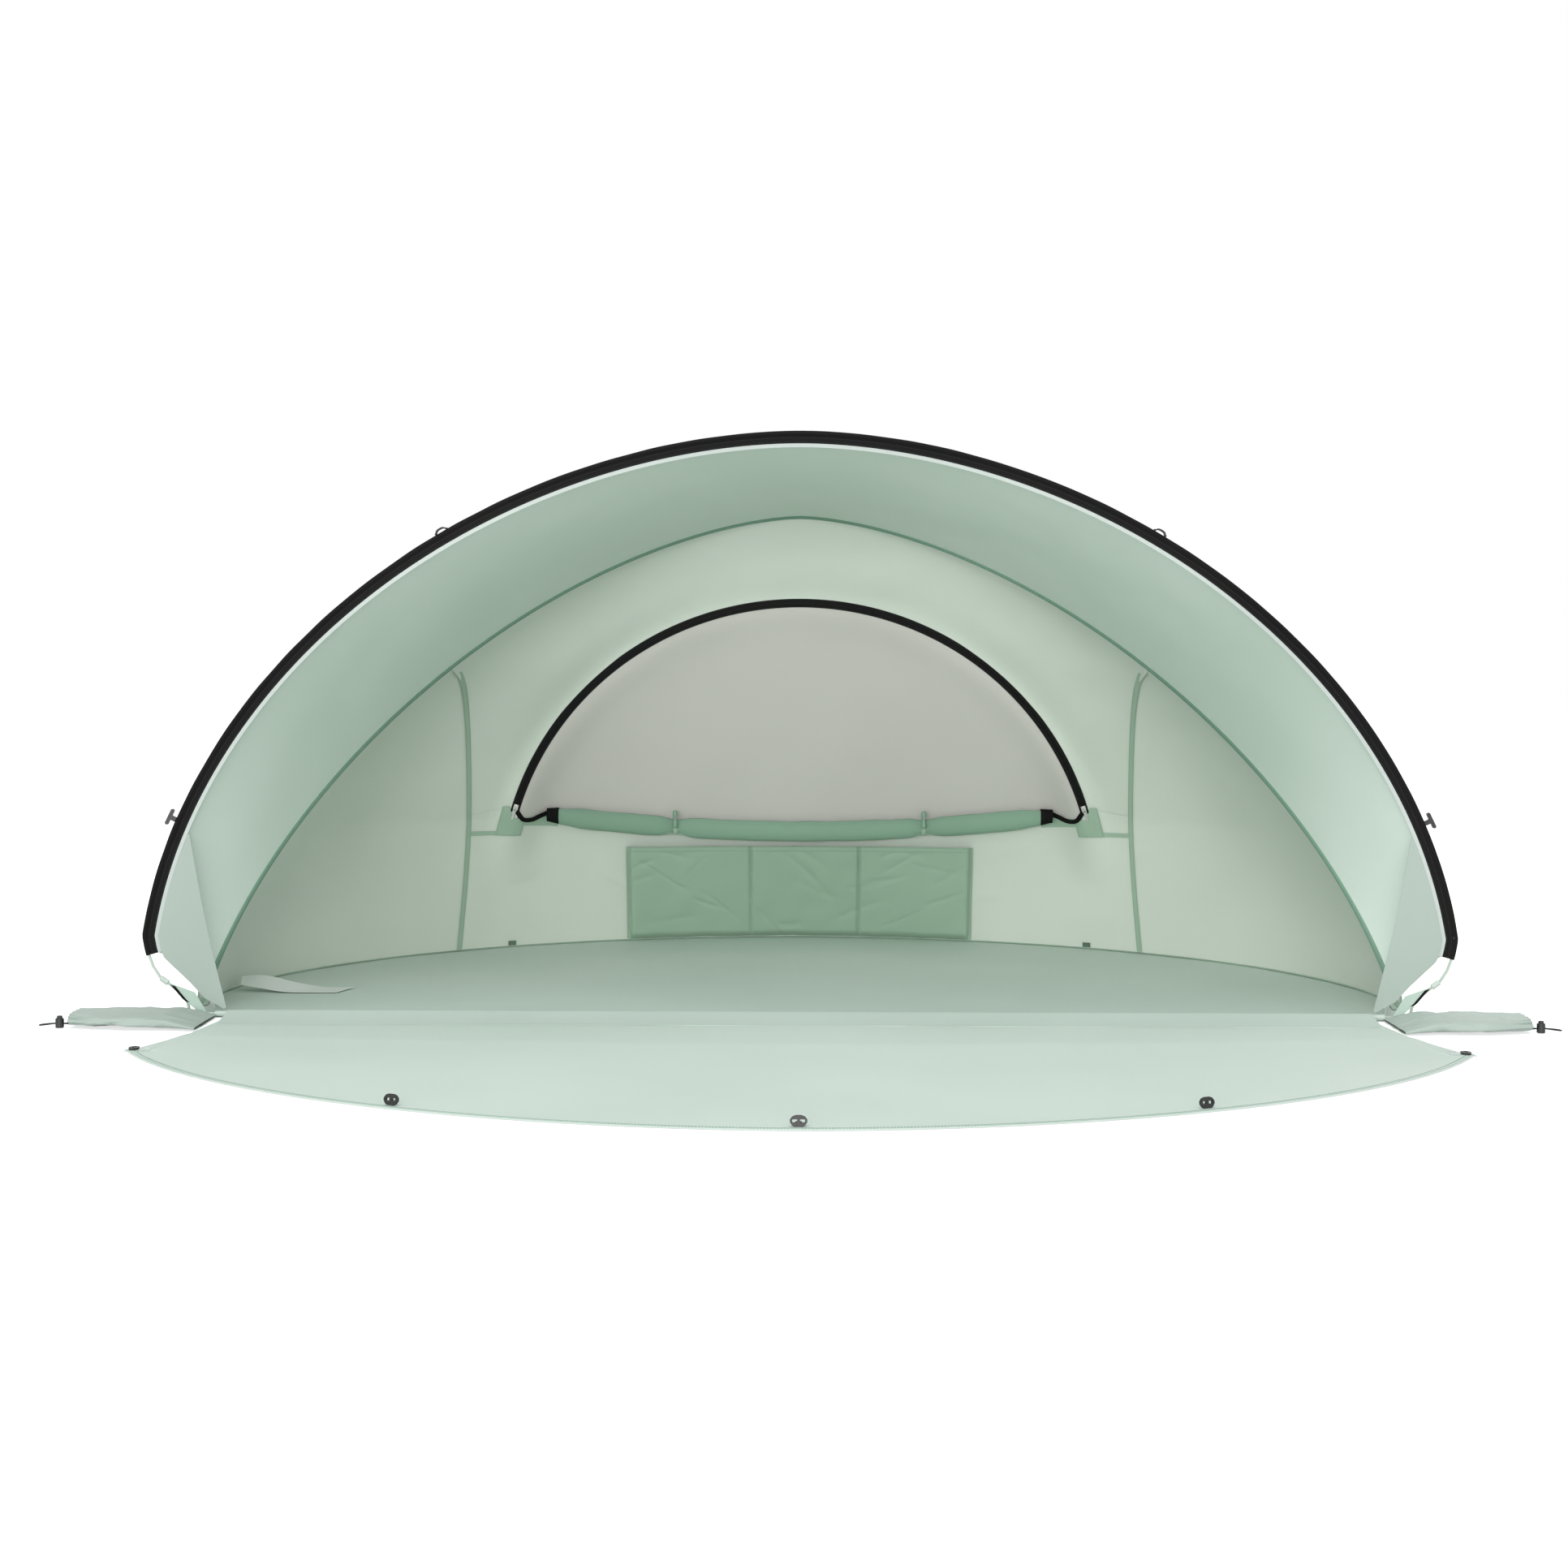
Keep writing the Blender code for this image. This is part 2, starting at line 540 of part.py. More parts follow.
def rear_wall_panels(wall, crown):
    """Upper panel round the window, lower panel under it, and a panel at each side."""
    gap = SEAM_GAP
    outline = [(x, z) for x, z in zip(wall.widths[::-1], wall.heights[::-1]) if z > SEAM_TOP_HEIGHT]
    outline[0] = (0.0, outline[0][1])
    outline.append((seam_x(SEAM_TOP_HEIGHT) - gap, SEAM_TOP_HEIGHT))
    seam_line = [(seam_x(z) - gap, z) for z in (SEAM_TOP_HEIGHT, SILL_HEIGHT + gap)]
    outline = np.concatenate([evenly(outline, ZIP_STEPS // 2 - 2), evenly(seam_line, 4)[1:]])
    rows_share = [0, 0.2, 0.42, 0.64, 0.82, 0.94, 1.0]
    columns = []
    for k, angle in enumerate(ZIP_ANGLES):
        side = -1 if k < ZIP_STEPS // 2 else 1
        end_x, end_z = outline[abs(k - ZIP_STEPS // 2)]
        start_x, start_z = zip_spot(angle, ZIP_RADIUS + ZIP_HALF_WIDTH + gap + CHORD_ALLOWANCE)
        column = []
        for share in rows_share:
            x = start_x + (side * end_x - start_x) * share
            z = start_z + (end_z - start_z) * share
            column.append(wall.point(x, z))
        columns.append(column)
    sheet("rear_wall_upper", columns, FABRIC, MINT)

    inner = ZIP_RADIUS - ZIP_HALF_WIDTH - gap
    outer_edges = [[side * (seam_x(z) - gap) for z in LOWER_ROWS] for side in (-1, 1)]
    columns = [[wall.point(x, z) for x, z in zip(outer_edges[0], LOWER_ROWS)]]
    columns += [[wall.point(x, z) for z in LOWER_ROWS] for x in wall.columns]
    columns.append([wall.point(x, z) for x, z in zip(outer_edges[1], LOWER_ROWS)])
    sheet("rear_wall_lower", columns, FABRIC, MINT)
    sill = wall.columns[1:-1]

    columns = []
    for angle, x in zip(ZIP_ANGLES, sill):
        top = zip_spot(angle, inner)[1]
        columns.append([wall.point(x, SILL_HEIGHT + gap + (top - SILL_HEIGHT - gap) * share)
                        for share in np.linspace(0, 1, 6)])
    sheet("mesh_window", columns, FABRIC * 0.8, MESH_CLOTH)

    coil = ZIP_COIL_WIDTH / 2
    high = ZIP_THICKNESS / 2
    tape = [(-ZIP_HALF_WIDTH, -high), (ZIP_HALF_WIDTH, -high), (ZIP_HALF_WIDTH, high), (coil, high),
            (coil, ZIP_COIL_TOP), (-coil, ZIP_COIL_TOP), (-coil, high), (-ZIP_HALF_WIDTH, high)]
    line = [zip_point(ZIP_SWEEP * k) for k in np.linspace(-1, 1, ZIP_LINE_STEPS)]
    bar("window_zip", line, ZIP_INWARD, tape, BLACK_CLOTH)

    for side, name in ((1, "side_wall_right"), (-1, "side_wall_left")):
        top_height = SEAM_TOP_HEIGHT - SIDE_WALL_TIP
        columns = []
        for z in np.linspace(WALL_FOOT_HEIGHT, top_height, 10):
            columns.append([(side * x, y, h) for x, y, h in side_section(wall, z, gap)])
        sheet(name, columns, FABRIC, MINT)


def side_section(wall, z, gap):
    """The side wall at one height, from its seam round to the rear arch."""
    half, widest, middle, fullness = wall.section(z)
    arch_x, arch_y = wall.arch_at(z)
    start = seam_x(z) + gap
    points = []
    first = (start / half) ** (fullness / 2)
    first_turn = np.arcsin(min(first, 1.0))
    for turn in np.linspace(first_turn, pi / 2, 14):
        x = half * sin(turn) ** (2 / fullness)
        points.append((x, wall.depth(x, z)))
    for share in np.linspace(1, 0, 10)[1:]:
        points.append((arch_x + (half - arch_x) * sin(share * pi / 2),
                       arch_y + (widest - arch_y) * share))
    points[0] = (start, wall.depth(start, z))
    return [(x, y, z) for x, y in evenly(points, 12)]


def canopy(front_crown, rear_crown):
    """The roof, stretched from the rear arch to the front arch."""
    back = evenly(inward(rear_crown, EDGE_REACH), 15)
    front = evenly(inward(front_crown, EDGE_REACH), 15)
    back[0, 0] = front[0, 0] = 0.0
    rear_line = leaning(mirrored(back), -PANEL_OFFSET)
    front_line = upright(mirrored(front), PANEL_OFFSET)
    columns = []
    for a, b in zip(rear_line, front_line):
        columns.append([tuple(Vector(a).lerp(Vector(b), share)) for share in np.linspace(0, 1, 6)])
    sheet("roof_canopy", columns, FABRIC, MINT, FRONT_ORIGIN)


WING_TOP_HEIGHT = 0.30
WING_FOOT_INSET = 0.061        # from the arch's foot
WING_FOOT_X = FRONT_FOOT_X - WING_FOOT_INSET
WING_FOOT_HEIGHT = 0.0118
WING_LOW_POINTS_SHARES = [(0.59, 0.536), (0.354, 0.23)]
WING_FOOT_STANDOFF = 0.0030


def wings(front_crown, reach):
    """The gussets that close the front between the arch's foot and the floor's corner."""
    edge = [p for p in inward(front_crown, reach + SEAM_GAP) if p[1] < WING_TOP_HEIGHT]
    top, end = edge[0], edge[-1]
    wide, tall = end[0] - WING_FOOT_X, end[1] - WING_FOOT_HEIGHT
    low = [(WING_FOOT_X + wide * x, WING_FOOT_HEIGHT + tall * z) for x, z in WING_LOW_POINTS_SHARES]
    outline = [tuple(p) for p in edge] + low + [(WING_FOOT_X, WING_FOOT_HEIGHT)]
    for side, name in ((1, "wing_right"), (-1, "wing_left")):
        front, back = [], []
        for x, z in outline:
            lean = WING_FOOT_STANDOFF * (top[1] - z) / (top[1] - WING_FOOT_HEIGHT)
            back.append((side * x, -GAP - lean, z))
            front.append((side * x, -GAP - lean - FABRIC, z))
        count = len(outline)
        faces = []
        for triangle in tessellate_polygon([[Vector((x, z, 0)) for x, z in outline]]):
            faces.append(tuple(triangle))
            faces.append(tuple(v + count for v in triangle[::-1]))
        faces += [(k, (k + 1) % count, (k + 1) % count + count, k + count) for k in range(count)]
        make(name, front + back, faces, MINT, FRONT_ORIGIN)


# The porch: a door of the same outline as the arch, hinged on the hem
PORCH_CORNER_INSET = 0.109
PORCH_CORNER_DEPTH = 0.340
PORCH_CORNER = (FRONT_HALF_WIDTH - PORCH_CORNER_INSET, PORCH_CORNER_DEPTH)
PORCH_HALF_WIDTH = FRONT_HALF_WIDTH + SNUG_RADIUS
PORCH_REACH = FRONT_RISE + SNUG_RADIUS
PORCH_HEM_WIDTH = 0.012
PORCH_HEM_THICKNESS = 0.0022
PORCH_START = 0.0036           # from the folding axis to the panel's near edge


def porch():
    """The door panel lying on the ground in front, and the hem round its free edge."""
    curve = []
    for turn in np.linspace(0, pi / 2, 160):
        x, y = superellipse(PORCH_HALF_WIDTH, PORCH_REACH, FRONT_ROUNDNESS, turn)
        if y + FRONT_CENTRE_HEIGHT > PORCH_CORNER[1]:
            curve.append((x, y + FRONT_CENTRE_HEIGHT))
    curve = evenly(curve + [PORCH_CORNER], 15)
    side_edge = [(WING_FOOT_X, PORCH_START)]
    half = np.concatenate([curve, np.array(side_edge)])
    inner = inward(half, PORCH_HEM_WIDTH / 2)
    inner[0] = (0.0, half[0][1] - PORCH_HEM_WIDTH / 2)
    inner[-1] = (half[-1][0] - PORCH_HEM_WIDTH / 2, PORCH_START)
    hem_path = [(x, -y, PORCH_HEM_THICKNESS / 2) for x, y in mirrored(inner)]
    bar("porch_hem", hem_path, (0, 0, 1), rectangle(PORCH_HEM_WIDTH, PORCH_HEM_THICKNESS), DARK_MINT,
        FRONT_ORIGIN)
    panel = inward(half, PORCH_HEM_WIDTH + GAP)
    panel[0] = (0.0, half[0][1] - PORCH_HEM_WIDTH - GAP)
    panel[-1] = (half[-1][0] - PORCH_HEM_WIDTH - GAP, PORCH_START)
    right = [(x, -y) for x, y in panel]
    outline = [(-x, y) for x, y in right[:0:-1]] + right
    plate("porch_panel", [outline], FABRIC, MINT, origin=FRONT_ORIGIN)


HOOK_WIDTH = 0.022
HOOK_HEIGHT = 0.0145
HOOK_THICKNESS = 0.0042
HOOK_BAR = 0.0036


def hook_outline():
    """An anchor shape: a centre bar for the webbing between two open arms."""
    half, high = HOOK_WIDTH / 2, HOOK_HEIGHT
    arm = HOOK_BAR
    outer = [(half * x, high * y) for x, y in
             ((0.30, 1.0), (-0.30, 1.0), (-0.72, 0.88), (-0.98, 0.62), (-0.98, 0.38), (-0.72, 0.10),
              (-0.40, 0.0), (0.40, 0.0), (0.72, 0.10), (0.98, 0.38), (0.98, 0.62), (0.72, 0.88))]
    holes = []
    for side in (-1, 1):
        hole = [(arm / 2, 0.37 * high), (arm / 2, 0.63 * high), (half - arm, 0.62 * high),
                (half - 0.8 * arm, 0.5 * high), (half - arm, 0.38 * high)]
        holes.append([(side * x, y) for x, y in hole])
    return [outer] + holes


WEBBING_THICKNESS = 0.0014
ELASTIC_LOOP_RADIUS = 0.0075
ELASTIC_RADIUS = 0.0011
HOOK_SITE_SHARES = [0.0, 0.56]     # of the arch's half width: the middle hook and the pair beside it


def porch_edge_depth(x):
    share = min(abs(x) / PORCH_HALF_WIDTH, 1.0)
    return FRONT_CENTRE_HEIGHT + PORCH_REACH * (1 - share ** FRONT_ROUNDNESS) ** (1 / FRONT_ROUNDNESS)


def porch_hooks():
    """Three hooks that stand on the panel by its hem, and one on an elastic loop at each corner."""
    lean = radians(78)
    pair = HOOK_SITE_SHARES[1] * PORCH_CORNER[0]
    for name, x in (("middle", HOOK_SITE_SHARES[0]), ("right", pair), ("left", -pair)):
        here, beside = porch_edge_depth(x), porch_edge_depth(abs(x) + HOOK_WIDTH)
        turn = atan2(here - beside, HOOK_WIDTH) * (1 if x > 0 else -1)
        turn = turn if abs(x) > HOOK_WIDTH else 0.0
        away = PORCH_HEM_WIDTH + 2 * HOOK_THICKNESS
        base = Vector((x - away * sin(turn), -here + away * cos(turn), FABRIC + GAP))
        about = Matrix.Translation(base) @ Matrix.Rotation(turn, 4, "Z")
        place = about @ Matrix.Rotation(lean, 4, "X")
        plate("porch_hook_" + name, hook_outline(), HOOK_THICKNESS, BLACK_PLASTIC, place, FRONT_ORIGIN)
    reach = ELASTIC_LOOP_RADIUS + ELASTIC_RADIUS + GAP
    for side, name in ((1, "right"), (-1, "left")):
        middle = Vector((side * (PORCH_CORNER[0] + reach), -PORCH_CORNER[1],
                         PORCH_HEM_THICKNESS / 2 + ELASTIC_RADIUS))
        ring_torus("corner_elastic_" + name, middle, ELASTIC_LOOP_RADIUS, ELASTIC_RADIUS, WHITE_SATIN)
        base = middle + Vector((side * reach, 0, -ELASTIC_RADIUS))
        place = Matrix.Translation(base) @ Matrix.Rotation(-side * pi / 2, 4, "Z")
        plate("corner_hook_" + name, hook_outline(), HOOK_THICKNESS, BLACK_PLASTIC, place, FRONT_ORIGIN)


def ring_torus(name, middle, radius, thickness, finish, turns=14, sides=6, origin=FRONT_ORIGIN):
    rows = []
    for k in range(turns):
        a = 2 * pi * k / turns
        out = Vector((cos(a), sin(a), 0))
        rows.append([middle + out * (radius + thickness * cos(b)) + Z_AXIS * thickness * sin(b)
                     for b in [2 * pi * j / sides for j in range(sides)]])
    verts = [v for row in rows for v in row]
    faces = []
    for i in range(turns):
        for k in range(sides):
            a, b = i * sides + k, i * sides + (k + 1) % sides
            c, d = ((i + 1) % turns) * sides + (k + 1) % sides, ((i + 1) % turns) * sides + k
            faces.append((a, b, c, d))
    return make(name, verts, faces, finish, origin, smooth=True)


# The storage pocket along the foot of the rear wall
POCKET_HALF_WIDTH = 0.35
POCKET_DIVIDERS = (-0.100, 0.122)
POCKET_BOTTOM = 0.0045
POCKET_TOP = 0.198
POCKET_DEPTHS = (0.012, 0.019)     # front to back, at the bottom and at the top
POCKET_STAND_OFF = 0.0009


def storage_pocket(wall):
    """An open pocket of three compartments, closed at its bottom, drawn in plan and stood up the wall."""
    layer = FABRIC
    cells = [-POCKET_HALF_WIDTH, *POCKET_DIVIDERS, POCKET_HALF_WIDTH]
    levels = [POCKET_BOTTOM, POCKET_BOTTOM + layer, *LOWER_ROWS[1:4], POCKET_TOP]

    def loop(low, high, near, far):
        between = [x for x in wall.columns if low + 5 * layer < x < high - 5 * layer]
        stops = [low, *between, high]
        return [(x, far) for x in stops] + [(x, near) for x in stops[::-1]]

    outer = loop(cells[0], cells[-1], 0.0, 1.0)
    holes = [loop(low + layer, high - layer, -1.0, -2.0) for low, high in zip(cells, cells[1:])]
    verts = []

    def stand(x, share, z):
        deep = POCKET_DEPTHS[0] + (POCKET_DEPTHS[1] - POCKET_DEPTHS[0]) * z / POCKET_TOP
        back = wall.facet(x, z) - FABRIC / 2 - POCKET_STAND_OFF
        away = {0.0: 0.0, 1.0: deep, -1.0: layer, -2.0: deep - layer}[share]
        verts.append((x, back - away, z))
        return len(verts) - 1

    def cap(*loops):
        seen = [[Vector((*verts[v][:2], 0)) for v in ring] for ring in loops]
        flat = [v for ring in loops for v in ring]
        return [tuple(flat[v] for v in t) for t in tessellate_polygon(seen)]

    outside = [[stand(x, share, z) for x, share in outer] for z in levels]
    inside = [[[stand(x, share, z) for x, share in hole] for z in levels[1:]] for hole in holes]
    faces = cap(outside[-1], *[hole[-1] for hole in inside]) + cap(outside[0])
    for hole in inside:
        faces += cap(hole[0])
    for stack in [outside] + inside:
        for low, high in zip(stack, stack[1:]):
            for k in range(len(low)):
                j = (k + 1) % len(low)
                faces += [(low[k], low[j], high[k]), (low[j], high[j], high[k])]
    make("storage_pocket", verts, faces, DARK_MINT)


# The window's cover, rolled down onto the sill and tied
ROLL_HALF_LENGTH = 0.505
ROLL_HALF_HEIGHT = 0.0175
ROLL_HALF_DEPTH = 0.0115
ROLL_LAP = 0.10                # the step at the roll's free edge, of its radius
ROLL_LOW_HEIGHT = 0.233
ROLL_SAG = 0.036
ROLL_STEPS = 28
ROLL_STAND_OFF = 0.0006
TIE_X = 0.252
TIE_PINCH = 0.24
TIE_PINCH_LENGTH = 0.022
TIE_WIDTH = 0.008
TIE_THICKNESS = 0.0010
TOGGLE_LENGTH = 0.018
TOGGLE_RADIUS = 0.0024


def roll_size(x):
    pinch = 1 - TIE_PINCH * np.exp(-((abs(x) - TIE_X) / TIE_PINCH_LENGTH) ** 2)
    end = min(1.0, 0.55 + (ROLL_HALF_LENGTH - abs(x)) / 0.06 * 0.45)
    return pinch * end


def roll_centre(wall, x):
    z = ROLL_LOW_HEIGHT + ROLL_SAG * (x / ROLL_HALF_LENGTH) ** 2
    depth = 2 * REAR_FOOT_OF_WALL
    for share in np.linspace(-1, 1, 9):
        height = z + share * ROLL_HALF_HEIGHT * (1 + ROLL_LAP)
        behind = wall.facet(x, height) if height < LOWER_ROWS[-1] else wall.depth(x, height)
        depth = min(depth, behind - ROLL_HALF_DEPTH * (1 + ROLL_LAP) * (1 - share ** 2) ** 0.5)
    return Vector((x, depth - ROLL_STAND_OFF, z))


def roll_ring(middle, size, extra=0.0, sides=14, lap=ROLL_LAP):
    """A section of the roll, square to X; its outline steps in where the cloth ends."""
    ring = []
    for k in range(sides):
        turn = 2 * pi * k / sides + pi / 3
        grow = size * (1 + lap * k / (sides - 1))
        ring.append(middle + Vector((0, -(grow * ROLL_HALF_DEPTH + extra) * cos(turn),
                                     (grow * ROLL_HALF_HEIGHT + extra) * sin(turn))))
    return ring


def rolled_flap(wall):
    fine = np.linspace(-ROLL_HALF_LENGTH, ROLL_HALF_LENGTH, ROLL_STEPS + 1)
    near_ties = [s * TIE_X + d for s in (-1, 1) for d in (-0.014, 0.0, 0.014)]
    spots = sorted([x for x in fine if all(abs(x - t) > 0.012 for t in near_ties)] + near_ties)
    rows = [roll_ring(roll_centre(wall, x), roll_size(x)) for x in spots]
    verts = [v for row in rows for v in row]
    sides = len(rows[0])
    faces = skin(rows) + [tuple(range(sides))[::-1], tuple(range(len(verts) - sides, len(verts)))]
    make("rolled_flap", verts, faces, DARK_MINT, FRONT_ORIGIN)
    for side, name in ((1, "right"), (-1, "left")):
        middle = roll_centre(wall, side * TIE_X)
        size = roll_size(side * TIE_X) * (1 + ROLL_LAP)
        inner_gap = 2 * GAP
        rows, inner = [], []
        for x in (-TIE_WIDTH / 2, TIE_WIDTH / 2):
            at = roll_centre(wall, side * TIE_X + x)
            rows.append(roll_ring(at, size, inner_gap + TIE_THICKNESS, 16, 0))
            inner.append(roll_ring(at, size, inner_gap, 16, 0))
        verts = [v for row in rows + inner for v in row]
        count = 2 * 16
        faces = skin(rows) + skin(inner, count, flip=True)
        for first in (0, 16):
            for k in range(16):
                a, b = first + k, first + (k + 1) % 16
                faces.append((a, b, b + count, a + count))
        make("flap_tie_" + name, verts, faces, DARK_MINT, FRONT_ORIGIN)
        front = size * ROLL_HALF_DEPTH + inner_gap + TIE_THICKNESS + GAP + TOGGLE_RADIUS
        spot = middle + Vector((0, -front, 0))
        place = Matrix.Translation(spot) @ Matrix.Rotation(pi / 2, 4, "Y")
        half = TOGGLE_LENGTH / 2
        profile = [(0.5 * TOGGLE_RADIUS, -half), (TOGGLE_RADIUS, 0.85 * -half), (0.7 * TOGGLE_RADIUS, 0),
                   (TOGGLE_RADIUS, 0.85 * half), (0.5 * TOGGLE_RADIUS, half)]
        turned("flap_toggle_" + name, profile, 8, BLACK_PLASTIC, place, FRONT_ORIGIN)


# The window's two zip sliders and their pulls
SLIDER_LENGTH = 0.011
SLIDER_HALF_WIDTH = 0.0045
SLIDER_SLOT_HALF = 0.0019
SLIDER_FOOT = 0.0014
SLIDER_ROOF = 0.0031
SLIDER_TOP = 0.0050
CROWN_HALF = 0.0042
CROWN_POST = 0.0014
CROWN_WIDTH = 0.0016
CROWN_CLEAR = 0.0078
CROWN_TOP = 0.0090
PULL_AXIS = 0.0065
PULL_THICKNESS = 0.0013
PULL_HALF_WIDTH = 0.0032
PULL_HOLE_HALF = 0.0014
PULL_HOLE_SHARES = (0.027, 0.26)
PULL_LENGTH = 0.026


def slider_place(side):
    """A slider's own frame: x along the zip, away from its top; y outwards from the zip's centre."""
    angle = side * SLIDER_PARK
    spot = zip_point(angle)
    along = side * (X_AXIS * cos(angle) - ZIP_UP * sin(angle))
    up = ZIP_INWARD
    across = up.cross(along)
    place = Matrix.Identity(4)
    for column, axis in enumerate((along, across, up)):
        for row in range(3):
            place[row][column] = axis[row]
    for row in range(3):
        place[row][3] = spot[row]
    return place


def zip_sliders():
    half = SLIDER_LENGTH / 2
    for side, name in ((1, "right"), (-1, "left")):
        place = slider_place(side)
        profile = [(-SLIDER_HALF_WIDTH, SLIDER_FOOT), (-SLIDER_SLOT_HALF, SLIDER_FOOT),
                   (-SLIDER_SLOT_HALF, SLIDER_ROOF), (SLIDER_SLOT_HALF, SLIDER_ROOF),
                   (SLIDER_SLOT_HALF, SLIDER_FOOT), (SLIDER_HALF_WIDTH, SLIDER_FOOT),
                   (SLIDER_HALF_WIDTH, SLIDER_TOP), (-SLIDER_HALF_WIDTH, SLIDER_TOP)]
        crown = [(-CROWN_HALF, SLIDER_TOP), (-CROWN_HALF, CROWN_TOP), (CROWN_HALF, CROWN_TOP),
                 (CROWN_HALF, SLIDER_TOP)]
        # the body's section runs along x; the crown's arch is drawn in the plane of x and height
        rows = [[place @ Vector((x, y, z)) for y, z in profile] for x in (-half, half)]
        verts = [v for row in rows for v in row]
        count = len(profile)
        faces = skin(rows) + [tuple(range(count))[::-1], tuple(range(count, 2 * count))]
        body = make("zip_slider_" + name, verts, faces, STEEL, tuple(ZIP_CENTRE))
        post = CROWN_HALF - CROWN_POST
        outline = [(-CROWN_HALF, SLIDER_TOP - GAP), (-CROWN_HALF, CROWN_TOP), (CROWN_HALF, CROWN_TOP),
                   (CROWN_HALF, SLIDER_TOP - GAP), (post, SLIDER_TOP - GAP), (post, CROWN_CLEAR),
                   (-post, CROWN_CLEAR), (-post, SLIDER_TOP - GAP)]
        stand = place @ Matrix.Translation((0, CROWN_WIDTH / 2, 0)) @ Matrix.Rotation(pi / 2, 4, "X")
        crown = plate("crown_tool_" + name, [outline], CROWN_WIDTH, STEEL, stand)
        union = body.modifiers.new("crown", "BOOLEAN")
        union.operation = "UNION"
        union.solver = "EXACT"
        union.object = crown
        crown.hide_render = True
        crown.display_type = "WIRE"
        axis_spot = place @ Vector((0, 0, PULL_AXIS))
        bar_half = PULL_THICKNESS / 2
        wide, narrow = PULL_HALF_WIDTH, 0.7 * PULL_HALF_WIDTH
        outline = [(-bar_half, -wide), (0.3 * PULL_LENGTH, -wide), (0.4 * PULL_LENGTH, -narrow),
                   (0.94 * PULL_LENGTH, -narrow), (PULL_LENGTH, -0.5 * narrow), (PULL_LENGTH, 0.5 * narrow),
                   (0.94 * PULL_LENGTH, narrow), (0.4 * PULL_LENGTH, narrow), (0.3 * PULL_LENGTH, wide),
                   (-bar_half, wide)]
        low, high = (share * PULL_LENGTH for share in PULL_HOLE_SHARES)
        hole = [(low, -PULL_HOLE_HALF), (low, PULL_HOLE_HALF), (high, PULL_HOLE_HALF), (high, -PULL_HOLE_HALF)]
        flat = place @ Matrix.Translation((0, 0, PULL_AXIS - bar_half))
        plate("zip_pull_" + name, [outline, hole], PULL_THICKNESS, STEEL, flat, tuple(axis_spot))


# Sand pockets beside the porch, with their drawcords
BAG_INNER_INSET = 0.0445       # inside the front arch's foot
BAG_LENGTH = 0.2035
BAG_INNER_X = FRONT_FOOT_X - BAG_INNER_INSET
BAG_MOUTH_X = BAG_INNER_X + BAG_LENGTH
BAG_MIDDLE_DEPTH = -0.0787
BAG_HALF_WIDTH = 0.074
BAG_MOUTH_HALF_WIDTH = 0.050
BAG_HEIGHT = 0.024
BAG_END_HEIGHT = 0.007
BAG_SIDES = 16
BAG_STATION_SHARES = [0.0, 0.06, 0.16, 0.35, 0.6, 0.8, 0.9, 1.0]


def bag_section(share, inset):
    """One section of the flat bag, square to X: its half width, its bottom and its top."""
    swell = sin(min(share / 0.35, 1.0) * pi / 2)
    height = BAG_END_HEIGHT + (BAG_HEIGHT - BAG_END_HEIGHT) * swell
    gather = max(0.0, (share - 0.6) / 0.4) ** 1.5
    half = BAG_HALF_WIDTH + (BAG_MOUTH_HALF_WIDTH - BAG_HALF_WIDTH) * gather
    ring = []
    for k in range(BAG_SIDES):
        turn = 2 * pi * k / BAG_SIDES
        pleat = 1 - 0.10 * gather * (k % 2)
        y = (half - inset) * cos(turn) * pleat
        z = (height / 2 - inset) * np.sign(sin(turn)) * abs(sin(turn)) ** 0.6 * pleat
        ring.append((y, GAP / 3 + height / 2 + z))
    return ring


CORD_RADIUS = 0.0011
CORD_HEIGHT = 0.0068
CORD_SPACING = 0.0027
LOCK_STANDOFF = 0.0145         # beyond the bag's mouth
LOCK_X = BAG_MOUTH_X + LOCK_STANDOFF
LOCK_Y = -0.117
LOCK_RADIUS = 0.0066
LOCK_BORE = 0.0046
LOCK_HEIGHT = 0.0150
LOCK_FLOOR = 0.0009
PLUNGER_RADIUS = 0.0042
PLUNGER_BOTTOM = 0.0052
PLUNGER_TOP = 0.0188
PLUNGER_TRAVEL = 0.0032


def sand_pockets():
    for side, name in ((1, "right"), (-1, "left")):
        span = BAG_MOUTH_X - BAG_INNER_X
        rings_out = []
        rings_in = []
        for share in BAG_STATION_SHARES:
            x = side * (BAG_INNER_X + span * share)
            rings_out.append([(x, BAG_MIDDLE_DEPTH + y, z) for y, z in bag_section(share, 0)])
            if share > 0:
                rings_in.append([(x, BAG_MIDDLE_DEPTH + y, z) for y, z in bag_section(share, FABRIC)])
        verts = [v for ring in rings_out + rings_in for v in ring]
        count = len(rings_out) * BAG_SIDES
        faces = skin(rings_out) + skin(rings_in, count, flip=True)
        faces.append(tuple(range(BAG_SIDES)))
        faces.append(tuple(range(count, count + BAG_SIDES)))
        first, last = count - BAG_SIDES, len(verts) - BAG_SIDES
        for k in range(BAG_SIDES):
            j = (k + 1) % BAG_SIDES
            faces.append((first + k, first + j, last + j, last + k))
        make("sand_pocket_" + name, verts, faces, MINT)
        draw_cord(side, name)
        cord_lock(side, name)


def tube(name, points, radius, finish, sides_detail=2):
    curve = bpy.data.curves.new(name, "CURVE")
    curve.dimensions = "3D"
    curve.bevel_depth = radius
    curve.bevel_resolution = sides_detail
    curve.use_fill_caps = True
    line = curve.splines.new("POLY")
    line.points.add(len(points) - 1)
    for spot, point in zip(line.points, points):
        spot.co = (*point, 1)
    curve.materials.append(finish)
    placed = bpy.data.objects.new(name, curve)
    bpy.context.scene.collection.objects.link(placed)
    return placed


